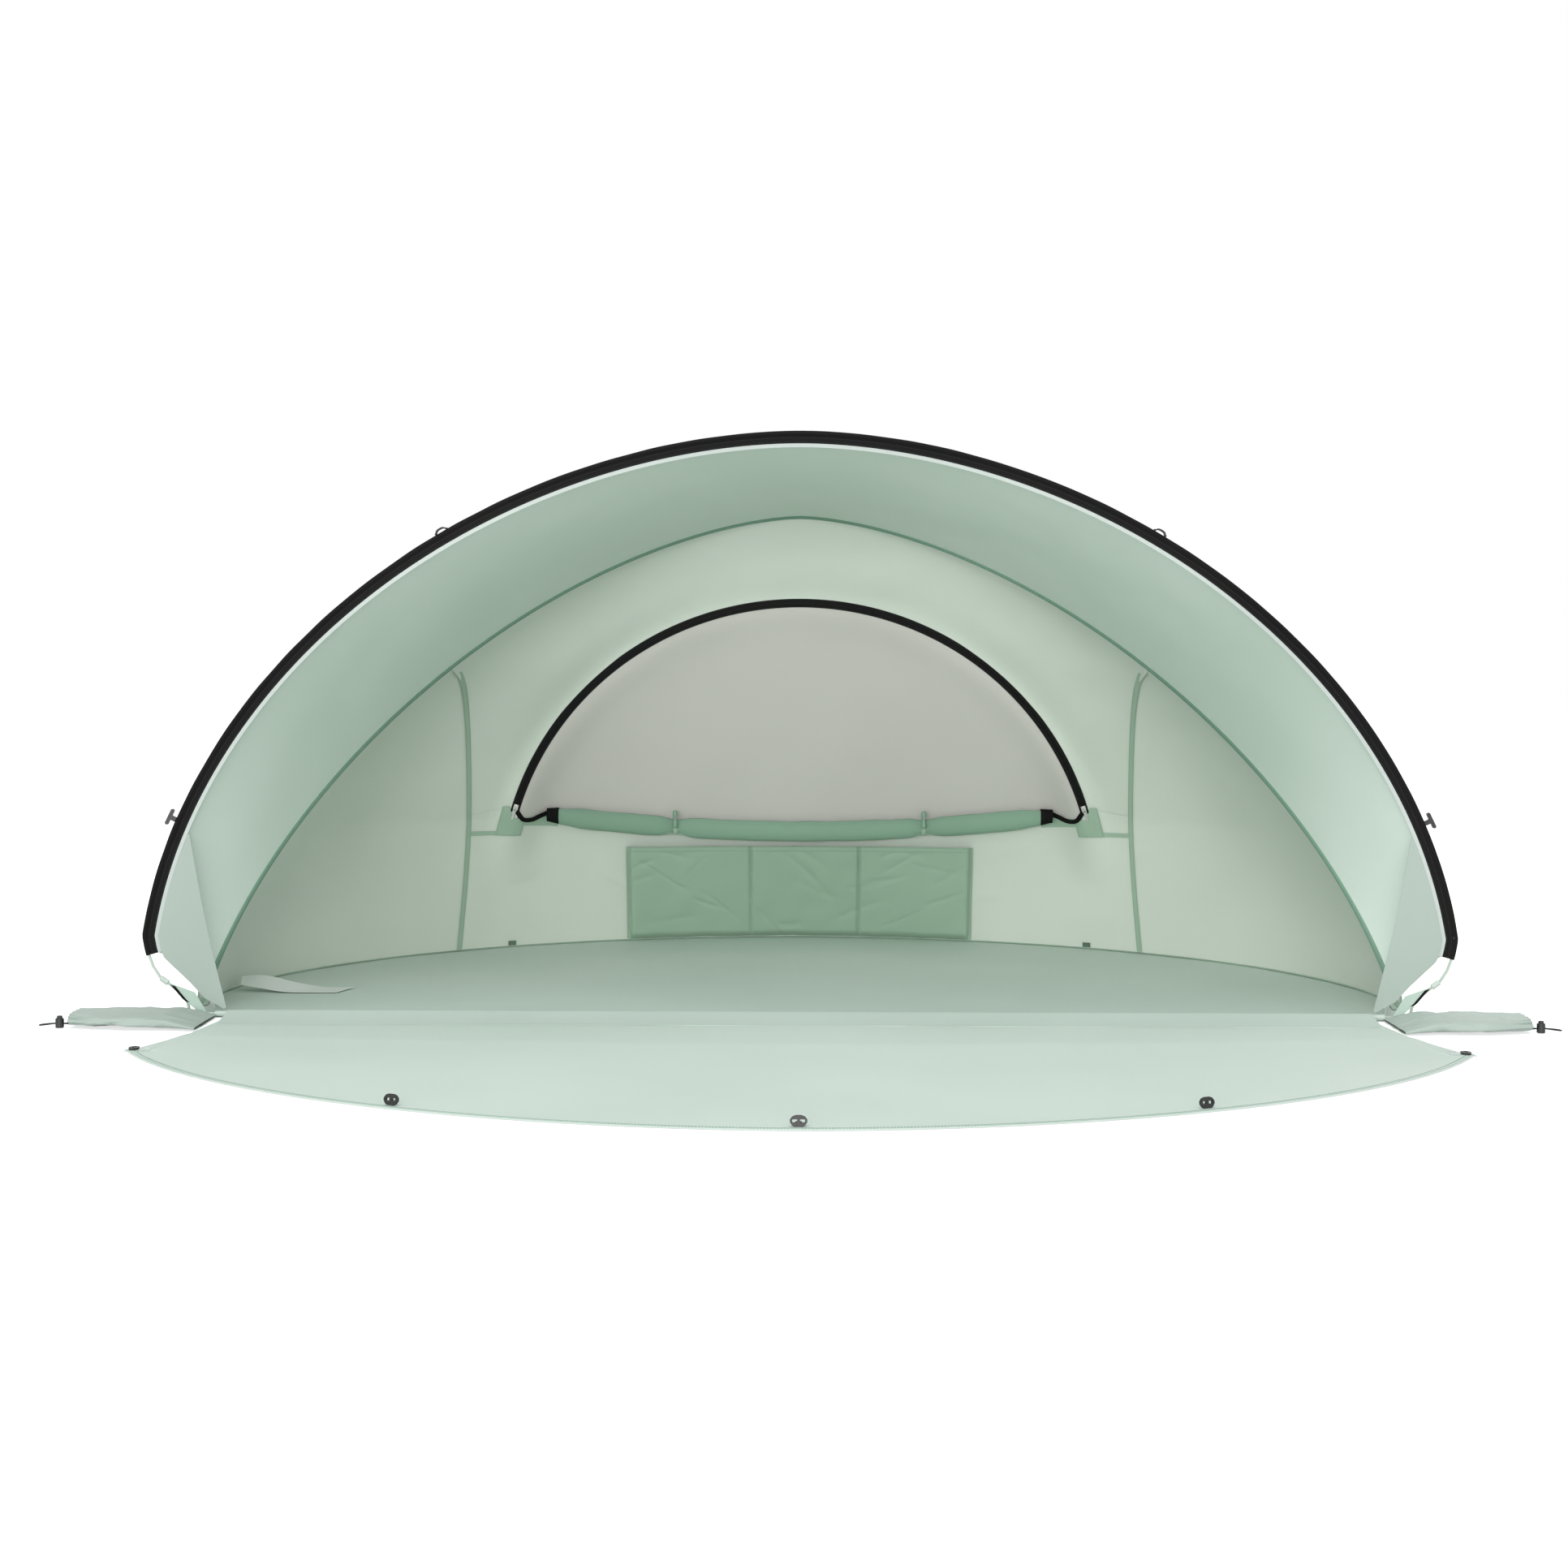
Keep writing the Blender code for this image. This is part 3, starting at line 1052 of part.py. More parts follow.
def draw_cord(side, name):
    """The drawcord's loose loop: out of the mouth's hem, through the lock, round and back."""
    half = CORD_SPACING / 2
    start = BAG_MOUTH_X + GAP
    beyond = LOCK_X + LOCK_RADIUS
    way = [(start, 2.6 * half, 0.5 * CORD_HEIGHT + 0.5 * CORD_HEIGHT), (LOCK_X - LOCK_RADIUS, half, CORD_HEIGHT),
           (LOCK_X, half, CORD_HEIGHT), (beyond, half, CORD_HEIGHT),
           (beyond + 2 * LOCK_RADIUS, 3.5 * half, 0.8 * CORD_HEIGHT)]
    tip = [(beyond + 3.3 * LOCK_RADIUS, 3.5 * half, 0.65 * CORD_HEIGHT),
           (beyond + 3.8 * LOCK_RADIUS, 0.0, 0.6 * CORD_HEIGHT),
           (beyond + 3.3 * LOCK_RADIUS, -3.5 * half, 0.65 * CORD_HEIGHT)]
    route = way + tip + [(x, -y, z) for x, y, z in way[::-1]]
    smooth = evenly(smooth_through(route, 12), 34)
    tube("sand_pocket_cord_" + name, [(side * x, LOCK_Y + y, z) for x, y, z in smooth], CORD_RADIUS,
         BLACK_CLOTH)


def cut(target, cutter, kind="DIFFERENCE"):
    step = target.modifiers.new(cutter.name, "BOOLEAN")
    step.operation = kind
    step.solver = "EXACT"
    step.object = cutter
    cutter.hide_render = True
    cutter.display_type = "WIRE"


def slot_tool(name, middle, half_width, low, high, reach):
    """A long block through a lock along X, used as a cutter."""
    outline = [(-reach, -half_width), (reach, -half_width), (reach, half_width), (-reach, half_width)]
    place = Matrix.Translation((middle[0], middle[1], low))
    return plate(name, [outline], high - low, BLACK_PLASTIC, place)


def cord_lock(side, name):
    spot = (side * LOCK_X, LOCK_Y)
    place = Matrix.Translation((*spot, 0))
    body = [(LOCK_RADIUS - 3 * GAP, GAP / 3), (LOCK_RADIUS, 3 * GAP), (LOCK_RADIUS, LOCK_HEIGHT - 3 * GAP),
            (LOCK_RADIUS - 3 * GAP, LOCK_HEIGHT), (LOCK_BORE, LOCK_HEIGHT), (LOCK_BORE, LOCK_FLOOR)]
    sides = 16
    lock = turned("cord_lock_" + name, body, sides, BLACK_PLASTIC, place)
    half_slot = CORD_SPACING / 2 + CORD_RADIUS + 1.3 * GAP
    low = CORD_HEIGHT - CORD_RADIUS - 1.3 * GAP
    high = CORD_HEIGHT + CORD_RADIUS + 1.3 * GAP
    cut(lock, slot_tool("lock_slot_" + name, spot, half_slot, low, high, 2 * LOCK_RADIUS))
    top = [(PLUNGER_RADIUS - GAP, PLUNGER_BOTTOM), (PLUNGER_RADIUS, PLUNGER_BOTTOM + GAP),
           (PLUNGER_RADIUS, PLUNGER_TOP - 2 * GAP), (PLUNGER_RADIUS - 2 * GAP, PLUNGER_TOP)]
    low = CORD_HEIGHT - CORD_RADIUS - GAP
    plunger = turned("cord_lock_plunger_" + name, top, sides, BLACK_PLASTIC, place, (*spot, PLUNGER_BOTTOM))
    wide = min(half_slot, PLUNGER_RADIUS - 3 * GAP)
    cut(plunger, slot_tool("plunger_slot_" + name, spot, wide, low, high + PLUNGER_TRAVEL, 2 * LOCK_RADIUS))


# Loops, tabs and toggles on the hoops
PEG_LOOP_SIZE = (0.020, 0.032)
PEG_LOOP_HOLE = (0.010, 0.018)
PEG_LOOP_X = 0.57


def rounded_box(width, height, radius, steps=3):
    points = []
    for cx, cy, first in ((1, 1, 0), (-1, 1, 1), (-1, -1, 2), (1, -1, 3)):
        for k in range(steps + 1):
            turn = (first + k / steps) * pi / 2
            points.append((cx * (width / 2 - radius) + radius * cos(turn),
                           cy * (height / 2 - radius) + radius * sin(turn)))
    return points


def peg_loops(edge):
    """Webbing loops that lie on the ground outside the rear edge."""
    for side, name in ((1, "peg_loop_right"), (-1, "peg_loop_left")):
        k = next(i for i in range(1, len(edge)) if edge[i][0] > PEG_LOOP_X)
        low, high = edge[k - 1], edge[k]
        along = (high - low) / np.linalg.norm(high - low)
        out = np.array([-along[1], along[0]]) if -along[1] * low[0] > 0 else np.array([along[1], -along[0]])
        out = out if out[1] > 0 else -out
        middle = low + (high - low) * (PEG_LOOP_X - low[0]) / (high[0] - low[0]) + out * (0.6 * LOOSE_RADIUS + PEG_LOOP_SIZE[1] / 2)
        turn = atan2(out[1], side * out[0]) - pi / 2
        place = Matrix.Translation((side * middle[0], middle[1], GAP / 3)) @ Matrix.Rotation(turn, 4, "Z")
        loops = [rounded_box(*PEG_LOOP_SIZE, 0.004), rounded_box(*PEG_LOOP_HOLE, 0.003)[::-1]]
        plate(name, loops, WEBBING_THICKNESS, BLACK_CLOTH, place)


GUIDE_SPAN = (2, 3)            # between these stations of the rod's foot
TAB_DEPTH = -0.0029
TAB_CORNERS = [(-0.0285, 0.0092), (-0.016, 0.0092), (0.010, 0.030), (0.0315, 0.0555), (-0.009, 0.041)]
TAB_HOLE = [(0.005, 0.0375), (0.0085, 0.0378), (0.0092, 0.0412), (0.0055, 0.0410)]


def corner_tabs(foot):
    """The short tunnels on the front rod's feet, and the webbing at the hoops' crossing."""
    outer, bore = circle(SNUG_RADIUS, 8), circle(SNUG_BORE, 8)
    high, low = (foot[GUIDE_SPAN[0]] + (foot[GUIDE_SPAN[1]] - foot[GUIDE_SPAN[0]]) * share
                 for share in (0.08, 0.92))
    for side, name in ((1, "right"), (-1, "left")):
        spots = [(side * x, 0, z) for x, z in (high, low)]
        sleeve("rod_guide_" + name, spots, (0, 1, 0), outer, bore, MINT, FRONT_ORIGIN)
        outline = [(side * (FRONT_FOOT_X + x), z) for x, z in TAB_CORNERS]
        hole = [(side * (FRONT_FOOT_X + x), z) for x, z in TAB_HOLE]
        upright_place = Matrix.Translation((0, TAB_DEPTH, 0)) @ Matrix.Rotation(pi / 2, 4, "X")
        plate("crossing_tab_" + name, [outline, hole], WEBBING_THICKNESS, MINT, upright_place)


ARCH_TOGGLE_HEIGHT = 0.316
ARCH_LOOP_HEIGHT = 0.7735
ARCH_TOGGLE_LENGTH = 0.027
ARCH_TOGGLE_WIDTH = 0.0058
ARCH_TOGGLE_REACH = 0.0135
ARCH_TOGGLE_THICKNESS = 0.005
ARCH_LOOP_LENGTH = 0.020
ARCH_LOOP_RISE = 0.0055
ARCH_LOOP_WIDTH = 0.010


def arch_site(crown, height, side):
    """A frame on the sleeve's outer edge: x outwards, y along the arch."""
    k = min(range(1, len(crown)), key=lambda i: abs((crown[i][1] + crown[i - 1][1]) / 2 - height))
    low, high = crown[k - 1], crown[k]
    along = (high - low) / np.linalg.norm(high - low)
    out = np.array([-along[1], along[0]])
    out = out if out[0] > 0 else -out
    share = (height - low[1]) / (high[1] - low[1])
    spot = low + (high - low) * share + out * (SNUG_RADIUS + GAP)
    turn = atan2(out[1], side * out[0])
    return (Matrix.Translation((side * float(spot[0]), 0, float(spot[1]))) @ Matrix.Rotation(-turn, 4, "Y")
            @ Matrix.Rotation(pi / 2, 4, "X"))


def arch_fittings(crown):
    half = ARCH_TOGGLE_LENGTH / 2
    reach, wide = ARCH_TOGGLE_REACH, ARCH_TOGGLE_WIDTH
    neck = 0.14 * ARCH_TOGGLE_LENGTH
    t_shape = [(0, -neck), (reach - wide, -neck), (reach - wide, -0.88 * half), (reach - 0.7 * wide, -half),
               (reach - 0.3 * wide, -half), (reach, -0.88 * half), (reach, 0.88 * half),
               (reach - 0.3 * wide, half), (reach - 0.7 * wide, half), (reach - wide, 0.88 * half),
               (reach - wide, neck), (0, neck)]
    rise, long = ARCH_LOOP_RISE, ARCH_LOOP_LENGTH / 2
    web = WEBBING_THICKNESS
    loop = [(0, -long), (rise - web, -0.8 * long), (rise, -0.5 * long), (rise, 0.5 * long),
            (rise - web, 0.8 * long), (0, long)]
    hole = [(web, -0.7 * long), (rise - web, -0.5 * long), (rise - web, 0.5 * long), (web, 0.7 * long)]
    for side, name in ((1, "right"), (-1, "left")):
        place = arch_site(crown, ARCH_TOGGLE_HEIGHT, side)
        centred = place @ Matrix.Translation((0, 0, -ARCH_TOGGLE_THICKNESS / 2))
        plate("arch_toggle_" + name, [t_shape], ARCH_TOGGLE_THICKNESS, BLACK_PLASTIC, centred, FRONT_ORIGIN)
        place = arch_site(crown, ARCH_LOOP_HEIGHT, side)
        centred = place @ Matrix.Translation((0, 0, -ARCH_LOOP_WIDTH / 2))
        plate("arch_loop_" + name, [loop, hole[::-1]], ARCH_LOOP_WIDTH, BLACK_CLOTH, centred, FRONT_ORIGIN)


TAG_CORNERS = [(-0.955, 0.300), (-0.775, 0.330), (-0.770, 0.296), (-0.948, 0.266)]
TAG_RISE = 0.004


def tag():
    """A blank cloth tag that lies on the floor, one end by the side wall."""
    a, b, c, d = (Vector((x, y, 0)) for x, y in TAG_CORNERS)
    columns = []
    for share in np.linspace(0, 1, 9):
        height = float(FABRIC + GAP + FABRIC / 2 + TAG_RISE * sin(pi * share) ** 2 * share)
        near, far = a.lerp(b, float(share)), d.lerp(c, float(share))
        columns.append([tuple(near + height * Z_AXIS), tuple(far + height * Z_AXIS)])
    sheet("cloth_tag", columns, 0.8 * FABRIC, WHITE_SATIN)


front_crown, front_foot, hem_reach = front_arch()
rear_crown = rear_arch()
floor_edge = ground_edges()
floor_sheet(floor_edge)
rear_wall = RearWall(rear_crown)
SEAM_TOP_X = rear_wall.arch_at(SEAM_TOP_HEIGHT)[0]
rear_wall_panels(rear_wall, rear_crown)
canopy(front_crown, rear_crown)
wings(front_crown, hem_reach)
porch()
porch_hooks()
storage_pocket(rear_wall)
rolled_flap(rear_wall)
zip_sliders()
sand_pockets()
peg_loops(floor_edge)
corner_tabs(front_foot)
arch_fittings(front_crown)
tag()
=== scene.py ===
# Beach tent on two sprung hoops: cloth, zip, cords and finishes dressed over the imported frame
from math import cos, pi, radians, sin

import bmesh
import bpy
import numpy as np
from mathutils import Matrix, Vector


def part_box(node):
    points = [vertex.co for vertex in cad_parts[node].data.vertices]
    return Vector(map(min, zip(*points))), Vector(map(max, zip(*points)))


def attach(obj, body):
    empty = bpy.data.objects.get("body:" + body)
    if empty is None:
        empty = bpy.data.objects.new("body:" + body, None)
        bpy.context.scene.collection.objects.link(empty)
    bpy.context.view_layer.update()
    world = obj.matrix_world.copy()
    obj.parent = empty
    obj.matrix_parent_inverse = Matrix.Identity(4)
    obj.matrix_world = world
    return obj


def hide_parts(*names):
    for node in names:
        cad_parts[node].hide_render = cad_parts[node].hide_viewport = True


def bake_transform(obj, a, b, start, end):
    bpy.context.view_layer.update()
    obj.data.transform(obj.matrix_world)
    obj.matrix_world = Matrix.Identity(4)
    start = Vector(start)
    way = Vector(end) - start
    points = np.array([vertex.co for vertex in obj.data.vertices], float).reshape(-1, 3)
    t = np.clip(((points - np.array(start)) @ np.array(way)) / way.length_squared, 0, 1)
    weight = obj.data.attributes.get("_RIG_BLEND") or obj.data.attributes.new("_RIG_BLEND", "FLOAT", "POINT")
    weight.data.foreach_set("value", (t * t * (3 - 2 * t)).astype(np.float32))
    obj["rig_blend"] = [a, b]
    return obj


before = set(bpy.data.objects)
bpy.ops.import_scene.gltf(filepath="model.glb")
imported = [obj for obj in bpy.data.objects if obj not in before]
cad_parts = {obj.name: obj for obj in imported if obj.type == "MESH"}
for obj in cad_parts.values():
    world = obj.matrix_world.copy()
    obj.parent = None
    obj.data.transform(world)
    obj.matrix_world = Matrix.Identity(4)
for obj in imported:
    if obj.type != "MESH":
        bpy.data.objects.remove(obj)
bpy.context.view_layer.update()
scene = bpy.context.scene

# Sizes shared by all the cloth, in metres and radians, as the frame has them
hoops = dict(axisHeight=0.0063, halfWidth=1.058, rise=0.899, centreHeight=0.0356, roundness=1.885,
             tailHeight=0.13, footX=0.978, sleeveEnd=0.1,
             rearHalfWidth=0.975, rearReach=1.178, rearRoundness=1.66, lean=radians(46.7),
             rearStart=0.08, webReach=0.016, edgeReach=0.0165, edgeOff=0.0015, hemReach=0.0223)
ground = dict(halfWidth=1.008, centreDepth=0.25, rearDepth=1.207, roundness=1.85, footX=0.970,
              footDepth=0.0065, inset=0.0055)
wall = dict(footDepth=0.052, footHeight=0.0036, inset=0.0115, setback=0.198, fullness=2.5,
            seamTop=0.56, seamFootX=0.675, sill=0.262)
window = dict(radius=0.592, lean=radians(8), top=(0, 0.875, 0.690), sweep=radians(73), tapeHalf=0.0085,
              flattening=0.035)
porchShape = dict(cornerX=0.949, cornerY=0.340, halfWidth=1.062, reach=0.903, startX=0.917, start=0.0036,
                  hem=0.012)

rearSpan = np.array([0, cos(hoops["lean"]), sin(hoops["lean"])])
rearNormal = np.array([0, sin(hoops["lean"]), -cos(hoops["lean"])])
zipUp = np.array([0, -sin(window["lean"]), cos(window["lean"])])
zipInward = np.array([0, -cos(window["lean"]), -sin(window["lean"])])
zipCentre = np.array(window["top"]) - window["radius"] * zipUp
bothSides = ((1, "right"), (-1, "left"))

# Colours and materials
def linear(code):
    parts = [int(code[k:k + 2], 16) / 255 for k in (1, 3, 5)]
    return (*[p / 12.92 if p <= 0.04045 else ((p + 0.055) / 1.055) ** 2.4 for p in parts], 1)


def addNode(tree, kind, settings=None, links=None):
    # settings name the node's own choices or its inputs, links say what feeds an input
    node = tree.nodes.new(kind)
    for key, value in (settings or {}).items():
        if hasattr(node, str(key)):
            setattr(node, key, value)
        else:
            node.inputs[key].default_value = value
    for key, source in (links or {}).items():
        tree.links.new(source, node.inputs[key])
    return node


def newMaterial(name, colours, roughness, metallic=0.0, sheen=0.0, specular=0.5, cloud=588.2, detail=2.0):
    # one colour, or two that run into each other in clouds of so many millimetres
    made = bpy.data.materials.new(name)
    made.use_nodes = True
    tree = made.node_tree
    shader = tree.nodes["Principled BSDF"]
    for label, value in (("Base Color", linear(colours[0])), ("Roughness", roughness), ("Metallic", metallic),
                         ("Sheen Weight", sheen), ("Specular IOR Level", specular)):
        shader.inputs[label].default_value = value
    if len(colours) == 1:
        return made, tree, shader, None
    place = addNode(tree, "ShaderNodeTexCoord")
    noise = addNode(tree, "ShaderNodeTexNoise", {"Scale": 1000 / cloud, "Detail": detail},
                    {"Vector": place.outputs["Object"]})
    ramp = addNode(tree, "ShaderNodeValToRGB", {}, {"Fac": noise.outputs["Fac"]})
    for stop, position, colour in zip(ramp.color_ramp.elements, (0.35, 0.65), colours):
        stop.position, stop.color = position, linear(colour)
    tree.links.new(ramp.outputs["Color"], shader.inputs["Base Color"])
    return made, tree, shader, noise


def clothMaterial(name, low, high, pitch=1.1, roughness=0.62, depth=0.06, sheen=0.08, specular=0.35):
    # two crossed sets of threads on the cloth's own metres, with pitch and depth in millimetres
    # real threads lie some 0.15 mm apart, too fine to show, so they are drawn about 1 mm apart
    made, tree, shader = newMaterial(name, (low, high), roughness, sheen=sheen, specular=specular)[:3]
    place = addNode(tree, "ShaderNodeUVMap")
    metres = addNode(tree, "ShaderNodeSeparateXYZ", {}, {"Vector": place.outputs["UV"]})
    waves = []
    for axis in ("X", "Y"):
        turn = addNode(tree, "ShaderNodeMath", {"operation": "MULTIPLY", 1: 2 * pi / (pitch / 1000)},
                       {0: metres.outputs[axis]})
        waves.append(addNode(tree, "ShaderNodeMath", {"operation": "SINE"}, {0: turn.outputs[0]}).outputs[0])
    both = addNode(tree, "ShaderNodeMath", {"operation": "MULTIPLY"}, {0: waves[0], 1: waves[1]})
    relief = addNode(tree, "ShaderNodeBump", {"Strength": 0.35, "Distance": depth / 1000},
                     {"Height": both.outputs[0]})
    tree.links.new(relief.outputs["Normal"], shader.inputs["Normal"])
    return made


def hardMaterial(name, low, high, roughness, metallic=0.0, grain=1.6667, depth=0.02):
    # a faint unevenness of so many millimetres; a moulding's own grain is finer than can show
    made, tree, shader, noise = newMaterial(name, (low, high), roughness, metallic, cloud=grain, detail=3.0)
    relief = addNode(tree, "ShaderNodeBump", {"Strength": 0.3, "Distance": depth / 1000},
                     {"Height": noise.outputs["Fac"]})
    tree.links.new(relief.outputs["Normal"], shader.inputs["Normal"])
    return made


# Thin coated cloths: a soft, low sheen, faintly clouded, each a shade apart as the panels face the light
mintCloth = clothMaterial("mint polyester taffeta", "#C0CDC4", "#C9D4CC")  # smooth guides on the rods
roofCloth = clothMaterial("mint silver-backed polyester", "#D2E0D5", "#DBE7DE")  # painted light: the roof's cool glow of light through the cloth
wallCloth = clothMaterial("backlit pale mint wall polyester", "#D2DACF", "#DBE2D8")  # painted light: warmer walls, paler for the light that shines through them from outside
floorCloth = clothMaterial("mint coated floor cloth", "#C0D0C6", "#C9D7CE", depth=0.08)  # flat, sturdier face
seamCloth = clothMaterial("shaded mint seam tape", "#678A76", "#739682")  # dark line of the bound hoop
wingCloth = clothMaterial("mint wing polyester", "#A0ADA4", "#AAB7AE")  # wings in the hoop's shade
bagCloth = clothMaterial("shaded mint bag polyester", "#A5B3AA", "#AFBDB4")  # painted shade in part: greyer, crumpled bags, their colour darkened for the shade on them
skirtCloth = clothMaterial("shaded mint hem cloth", "#BECCC3", "#C7D5CC", roughness=0.8, depth=0.08,
                           specular=0.15)  # painted shade: dull fall of the near edge, darker than the porch where it turns from the light
porchCloth = clothMaterial("lit pale mint floor cloth", "#C8D7CD", "#D0DDD4", depth=0.08)  # painted light: paler than the floor cloth, for the porch in full light
darkMintCloth = clothMaterial("deeper mint polyester", "#9CB6A1", "#A6BEAA")  # greener pocket and patches
flapCloth = clothMaterial("rolled mint polyester", "#7E9E89", "#8CAC97")  # deep green, many layers
# Tapes, netting, cord: a coarser weave that reads as ribs
darkWebbing = clothMaterial("shaded mint webbing", "#586F60", "#688573", pitch=0.9, depth=0.16)  # shaded loops
mintWebbing = clothMaterial("mint webbing", "#B2C7BA", "#C0D3C7", pitch=0.9, depth=0.16)  # ribbed pale straps
blackWebbing = clothMaterial("black webbing", "#191918", "#222221", pitch=0.9, depth=0.16)  # ribbed black loops
blackCloth = clothMaterial("black polyester sleeve", "#0A0A0A", "#10100F", pitch=1.4, sheen=0.01,
                           specular=0.12)  # near-black, matt sleeve
netting = clothMaterial("grey polyester netting", "#CBC7C2", "#D3CFCA", pitch=1.6, depth=0.2)  # warm grey haze
silverTape = clothMaterial("silver-coated tape", "#B9C1BC", "#C4CCC7", roughness=0.6, specular=0.2)  # dull silver
whiteSatin = clothMaterial("white satin ribbon", "#DAE0DB", "#E1E6E2", roughness=0.4)  # the tag's soft gloss
blackCord = clothMaterial("black braided cord", "#171717", "#1E1E1E", pitch=1.8, depth=0.2)  # knobbly braid
elastic = clothMaterial("white covered elastic", "#D5D9D6", "#DEE2DF", pitch=1.0, depth=0.1)  # ribbed white
# Threads: plain and dull, one shade from the cloth they hold
thread = newMaterial("mint sewing thread", ["#8FAB99"], 0.7)[0]  # deeper than pale cloth
paleThread = newMaterial("pale mint thread", ["#A9BFB0"], 0.7)[0]  # lighter than the binding
seamThread = newMaterial("shaded mint thread", ["#6F8F7C"], 0.7)[0]  # dark rows on the pocket
darkThread = newMaterial("black sewing thread", ["#262626"], 0.7)[0]  # just lifts off black cloth
zipCoil = newMaterial("black nylon coil", ["#0D0D0D"], 0.5, specular=0.2)[0]  # small glints of the coil
# Fittings: smooth, with a clear small highlight
mintAcetal = hardMaterial("mint acetal", "#7A9C87", "#86A893", 0.42)  # moulded green toggles
blackAcetal = hardMaterial("black acetal", "#1A1A1A", "#202020", 0.42)  # satin black hooks and locks
glassFibre = hardMaterial("pale glass fibre", "#B4C2B6", "#BFCBC0", 0.38)  # milky, slightly glossy rod
platedSteel = hardMaterial("nickel-plated steel", "#BEBEBA", "#CACAC6", 0.28, 1.0)  # bright metal
print("materials ready")


# Curves of the hoops and of the floor
def superellipse(half, reach, roundness, turn):
    return half * np.sin(turn) ** (2 / roundness), reach * np.clip(np.cos(turn), 0, 1) ** (2 / roundness)


def through(points, steps):
    knots = [np.array(p, float) for p in points]
    knots = [2 * knots[0] - knots[1]] + knots + [2 * knots[-1] - knots[-2]]
    curve = []
    for k in range(1, len(knots) - 2):
        a, b, c, d = knots[k - 1:k + 3]
        for t in np.linspace(0, 1, steps, endpoint=False):
            curve.append(0.5 * (2 * b + (c - a) * t + (2 * a - 5 * b + 4 * c - d) * t ** 2
                                + (3 * b - a - 3 * c + d) * t ** 3))
    return np.array(curve + [knots[-2]])


def lengths(path):
    return np.concatenate([[0], np.cumsum(np.linalg.norm(np.diff(path, axis=0), axis=1))])


def evenly(path, count):
    path = np.asarray(path, float)
    run = lengths(path)
    spots = np.linspace(0, run[-1], count)
    return np.stack([np.interp(spots, run, path[:, k]) for k in range(path.shape[1])], axis=1)


def mirrored(half):
    flip = np.ones(half.shape[1])
    flip[0] = -1
    return np.concatenate([half[:0:-1] * flip, half])


def inward(path, distance):
    ways = np.gradient(path, axis=0)
    ways /= np.linalg.norm(ways, axis=1)[:, None]
    return path + distance * np.stack([ways[:, 1], -ways[:, 0]], axis=1)


def frontHalf():
    x, z = superellipse(hoops["halfWidth"], hoops["rise"], hoops["roundness"], np.linspace(0, pi / 2, 400))
    arch = np.stack([x, z + hoops["centreHeight"]], axis=1)
    arch = arch[arch[:, 1] > hoops["tailHeight"]]
    shares = [(1, 1), (0.91, 0.77), (0.736, 0.546), (0.444, 0.408), (0.125, 0.262), (0, 0.138), (0, 0.07)]
    span = arch[-1, 0] - hoops["footX"]
    tail = through([(hoops["footX"] + span * x, hoops["tailHeight"] * z) for x, z in shares], 8)
    return np.concatenate([arch, tail[1:]])


def rearHalf():
    x, reach = superellipse(hoops["rearHalfWidth"], hoops["rearReach"], hoops["rearRoundness"],
                            np.linspace(0, pi / 2, 400))
    arch = np.stack([x, reach], axis=1)
    return arch[arch[:, 1] > hoops["rearStart"]]


def upright(path, depth=0.0):
    return np.stack([path[:, 0], np.full(len(path), depth), path[:, 1]], axis=1)


def leaning(path, off=0.0):
    base = np.array([0, 0, hoops["axisHeight"]]) + off * rearNormal
    return base + path[:, :1] * np.array([1.0, 0, 0]) + path[:, 1:] * rearSpan


def floorHalf():
    turns = np.linspace(0, pi / 2, 240)
    x, y = superellipse(ground["halfWidth"], ground["rearDepth"] - ground["centreDepth"],
                        ground["roundness"], turns)
    arc = np.stack([x, ground["centreDepth"] + y], axis=1)
    part = np.linspace(1, 0, 48)[1:]
    side = np.stack([ground["footX"] + (ground["halfWidth"] - ground["footX"]) * np.sin(part * pi / 2),
                     ground["footDepth"] + part * (ground["centreDepth"] - ground["footDepth"])], axis=1)
    return np.concatenate([arc, side])


frontCrown = frontHalf()
frontCrown = frontCrown[frontCrown[:, 1] > hoops["sleeveEnd"]]
rearCrown = rearHalf()
floorEdge = floorHalf()

# The rear arch's inner edge, which carries the walls
archEdge = leaning(inward(evenly(rearCrown, 200), hoops["edgeReach"]), hoops["edgeOff"])[::-1]


def archAt(z):
    return (np.interp(z, archEdge[:, 2], archEdge[:, 0]),
            np.maximum(np.interp(z, archEdge[:, 2], archEdge[:, 1]), wall["footDepth"]))


wallFootHalf = ground["halfWidth"] - wall["inset"]
wallFootRear = ground["rearDepth"] - wall["inset"]


def wallSection(z):
    x, y = archAt(z)
    low = np.maximum(0, 1 - z / wall["seamTop"])
    middle = wallFootRear + (archEdge[-1, 1] - wallFootRear) * z / archEdge[-1, 2]
    rise = np.minimum(1, z / wall["sill"])
    fullness = ground["roundness"] + (wall["fullness"] - ground["roundness"]) * rise
    return x + (wallFootHalf - archEdge[0, 0]) * low, y + wall["setback"] * low, middle, fullness


def wallDepth(x, z):
    half, widest, middle, fullness = wallSection(z)
    share = np.minimum(np.abs(x) / half, 1)
    plain = widest + (middle - widest) * (1 - share ** fullness) ** (1 / fullness)
    rise = (z - zipCentre[2]) / cos(window["lean"])
    off = np.sqrt(x * x + rise * rise) - window["radius"]
    onZip = zipCentre[1] - (z - zipCentre[2]) * np.tan(window["lean"])
    fade = np.clip((z - wall["sill"] / 2) / (wall["sill"] / 2), 0, 1)
    nearArch = np.clip((1 - share) / 0.15, 0, 1)
    weight = np.exp(-(off / window["flattening"]) ** 2) * fade * nearArch
    return plain + weight * (onZip - plain)


def onWall(x, z):
    x, z = np.broadcast_arrays(np.asarray(x, float), np.asarray(z, float))
    return np.stack([x, wallDepth(x, z), z], axis=-1)


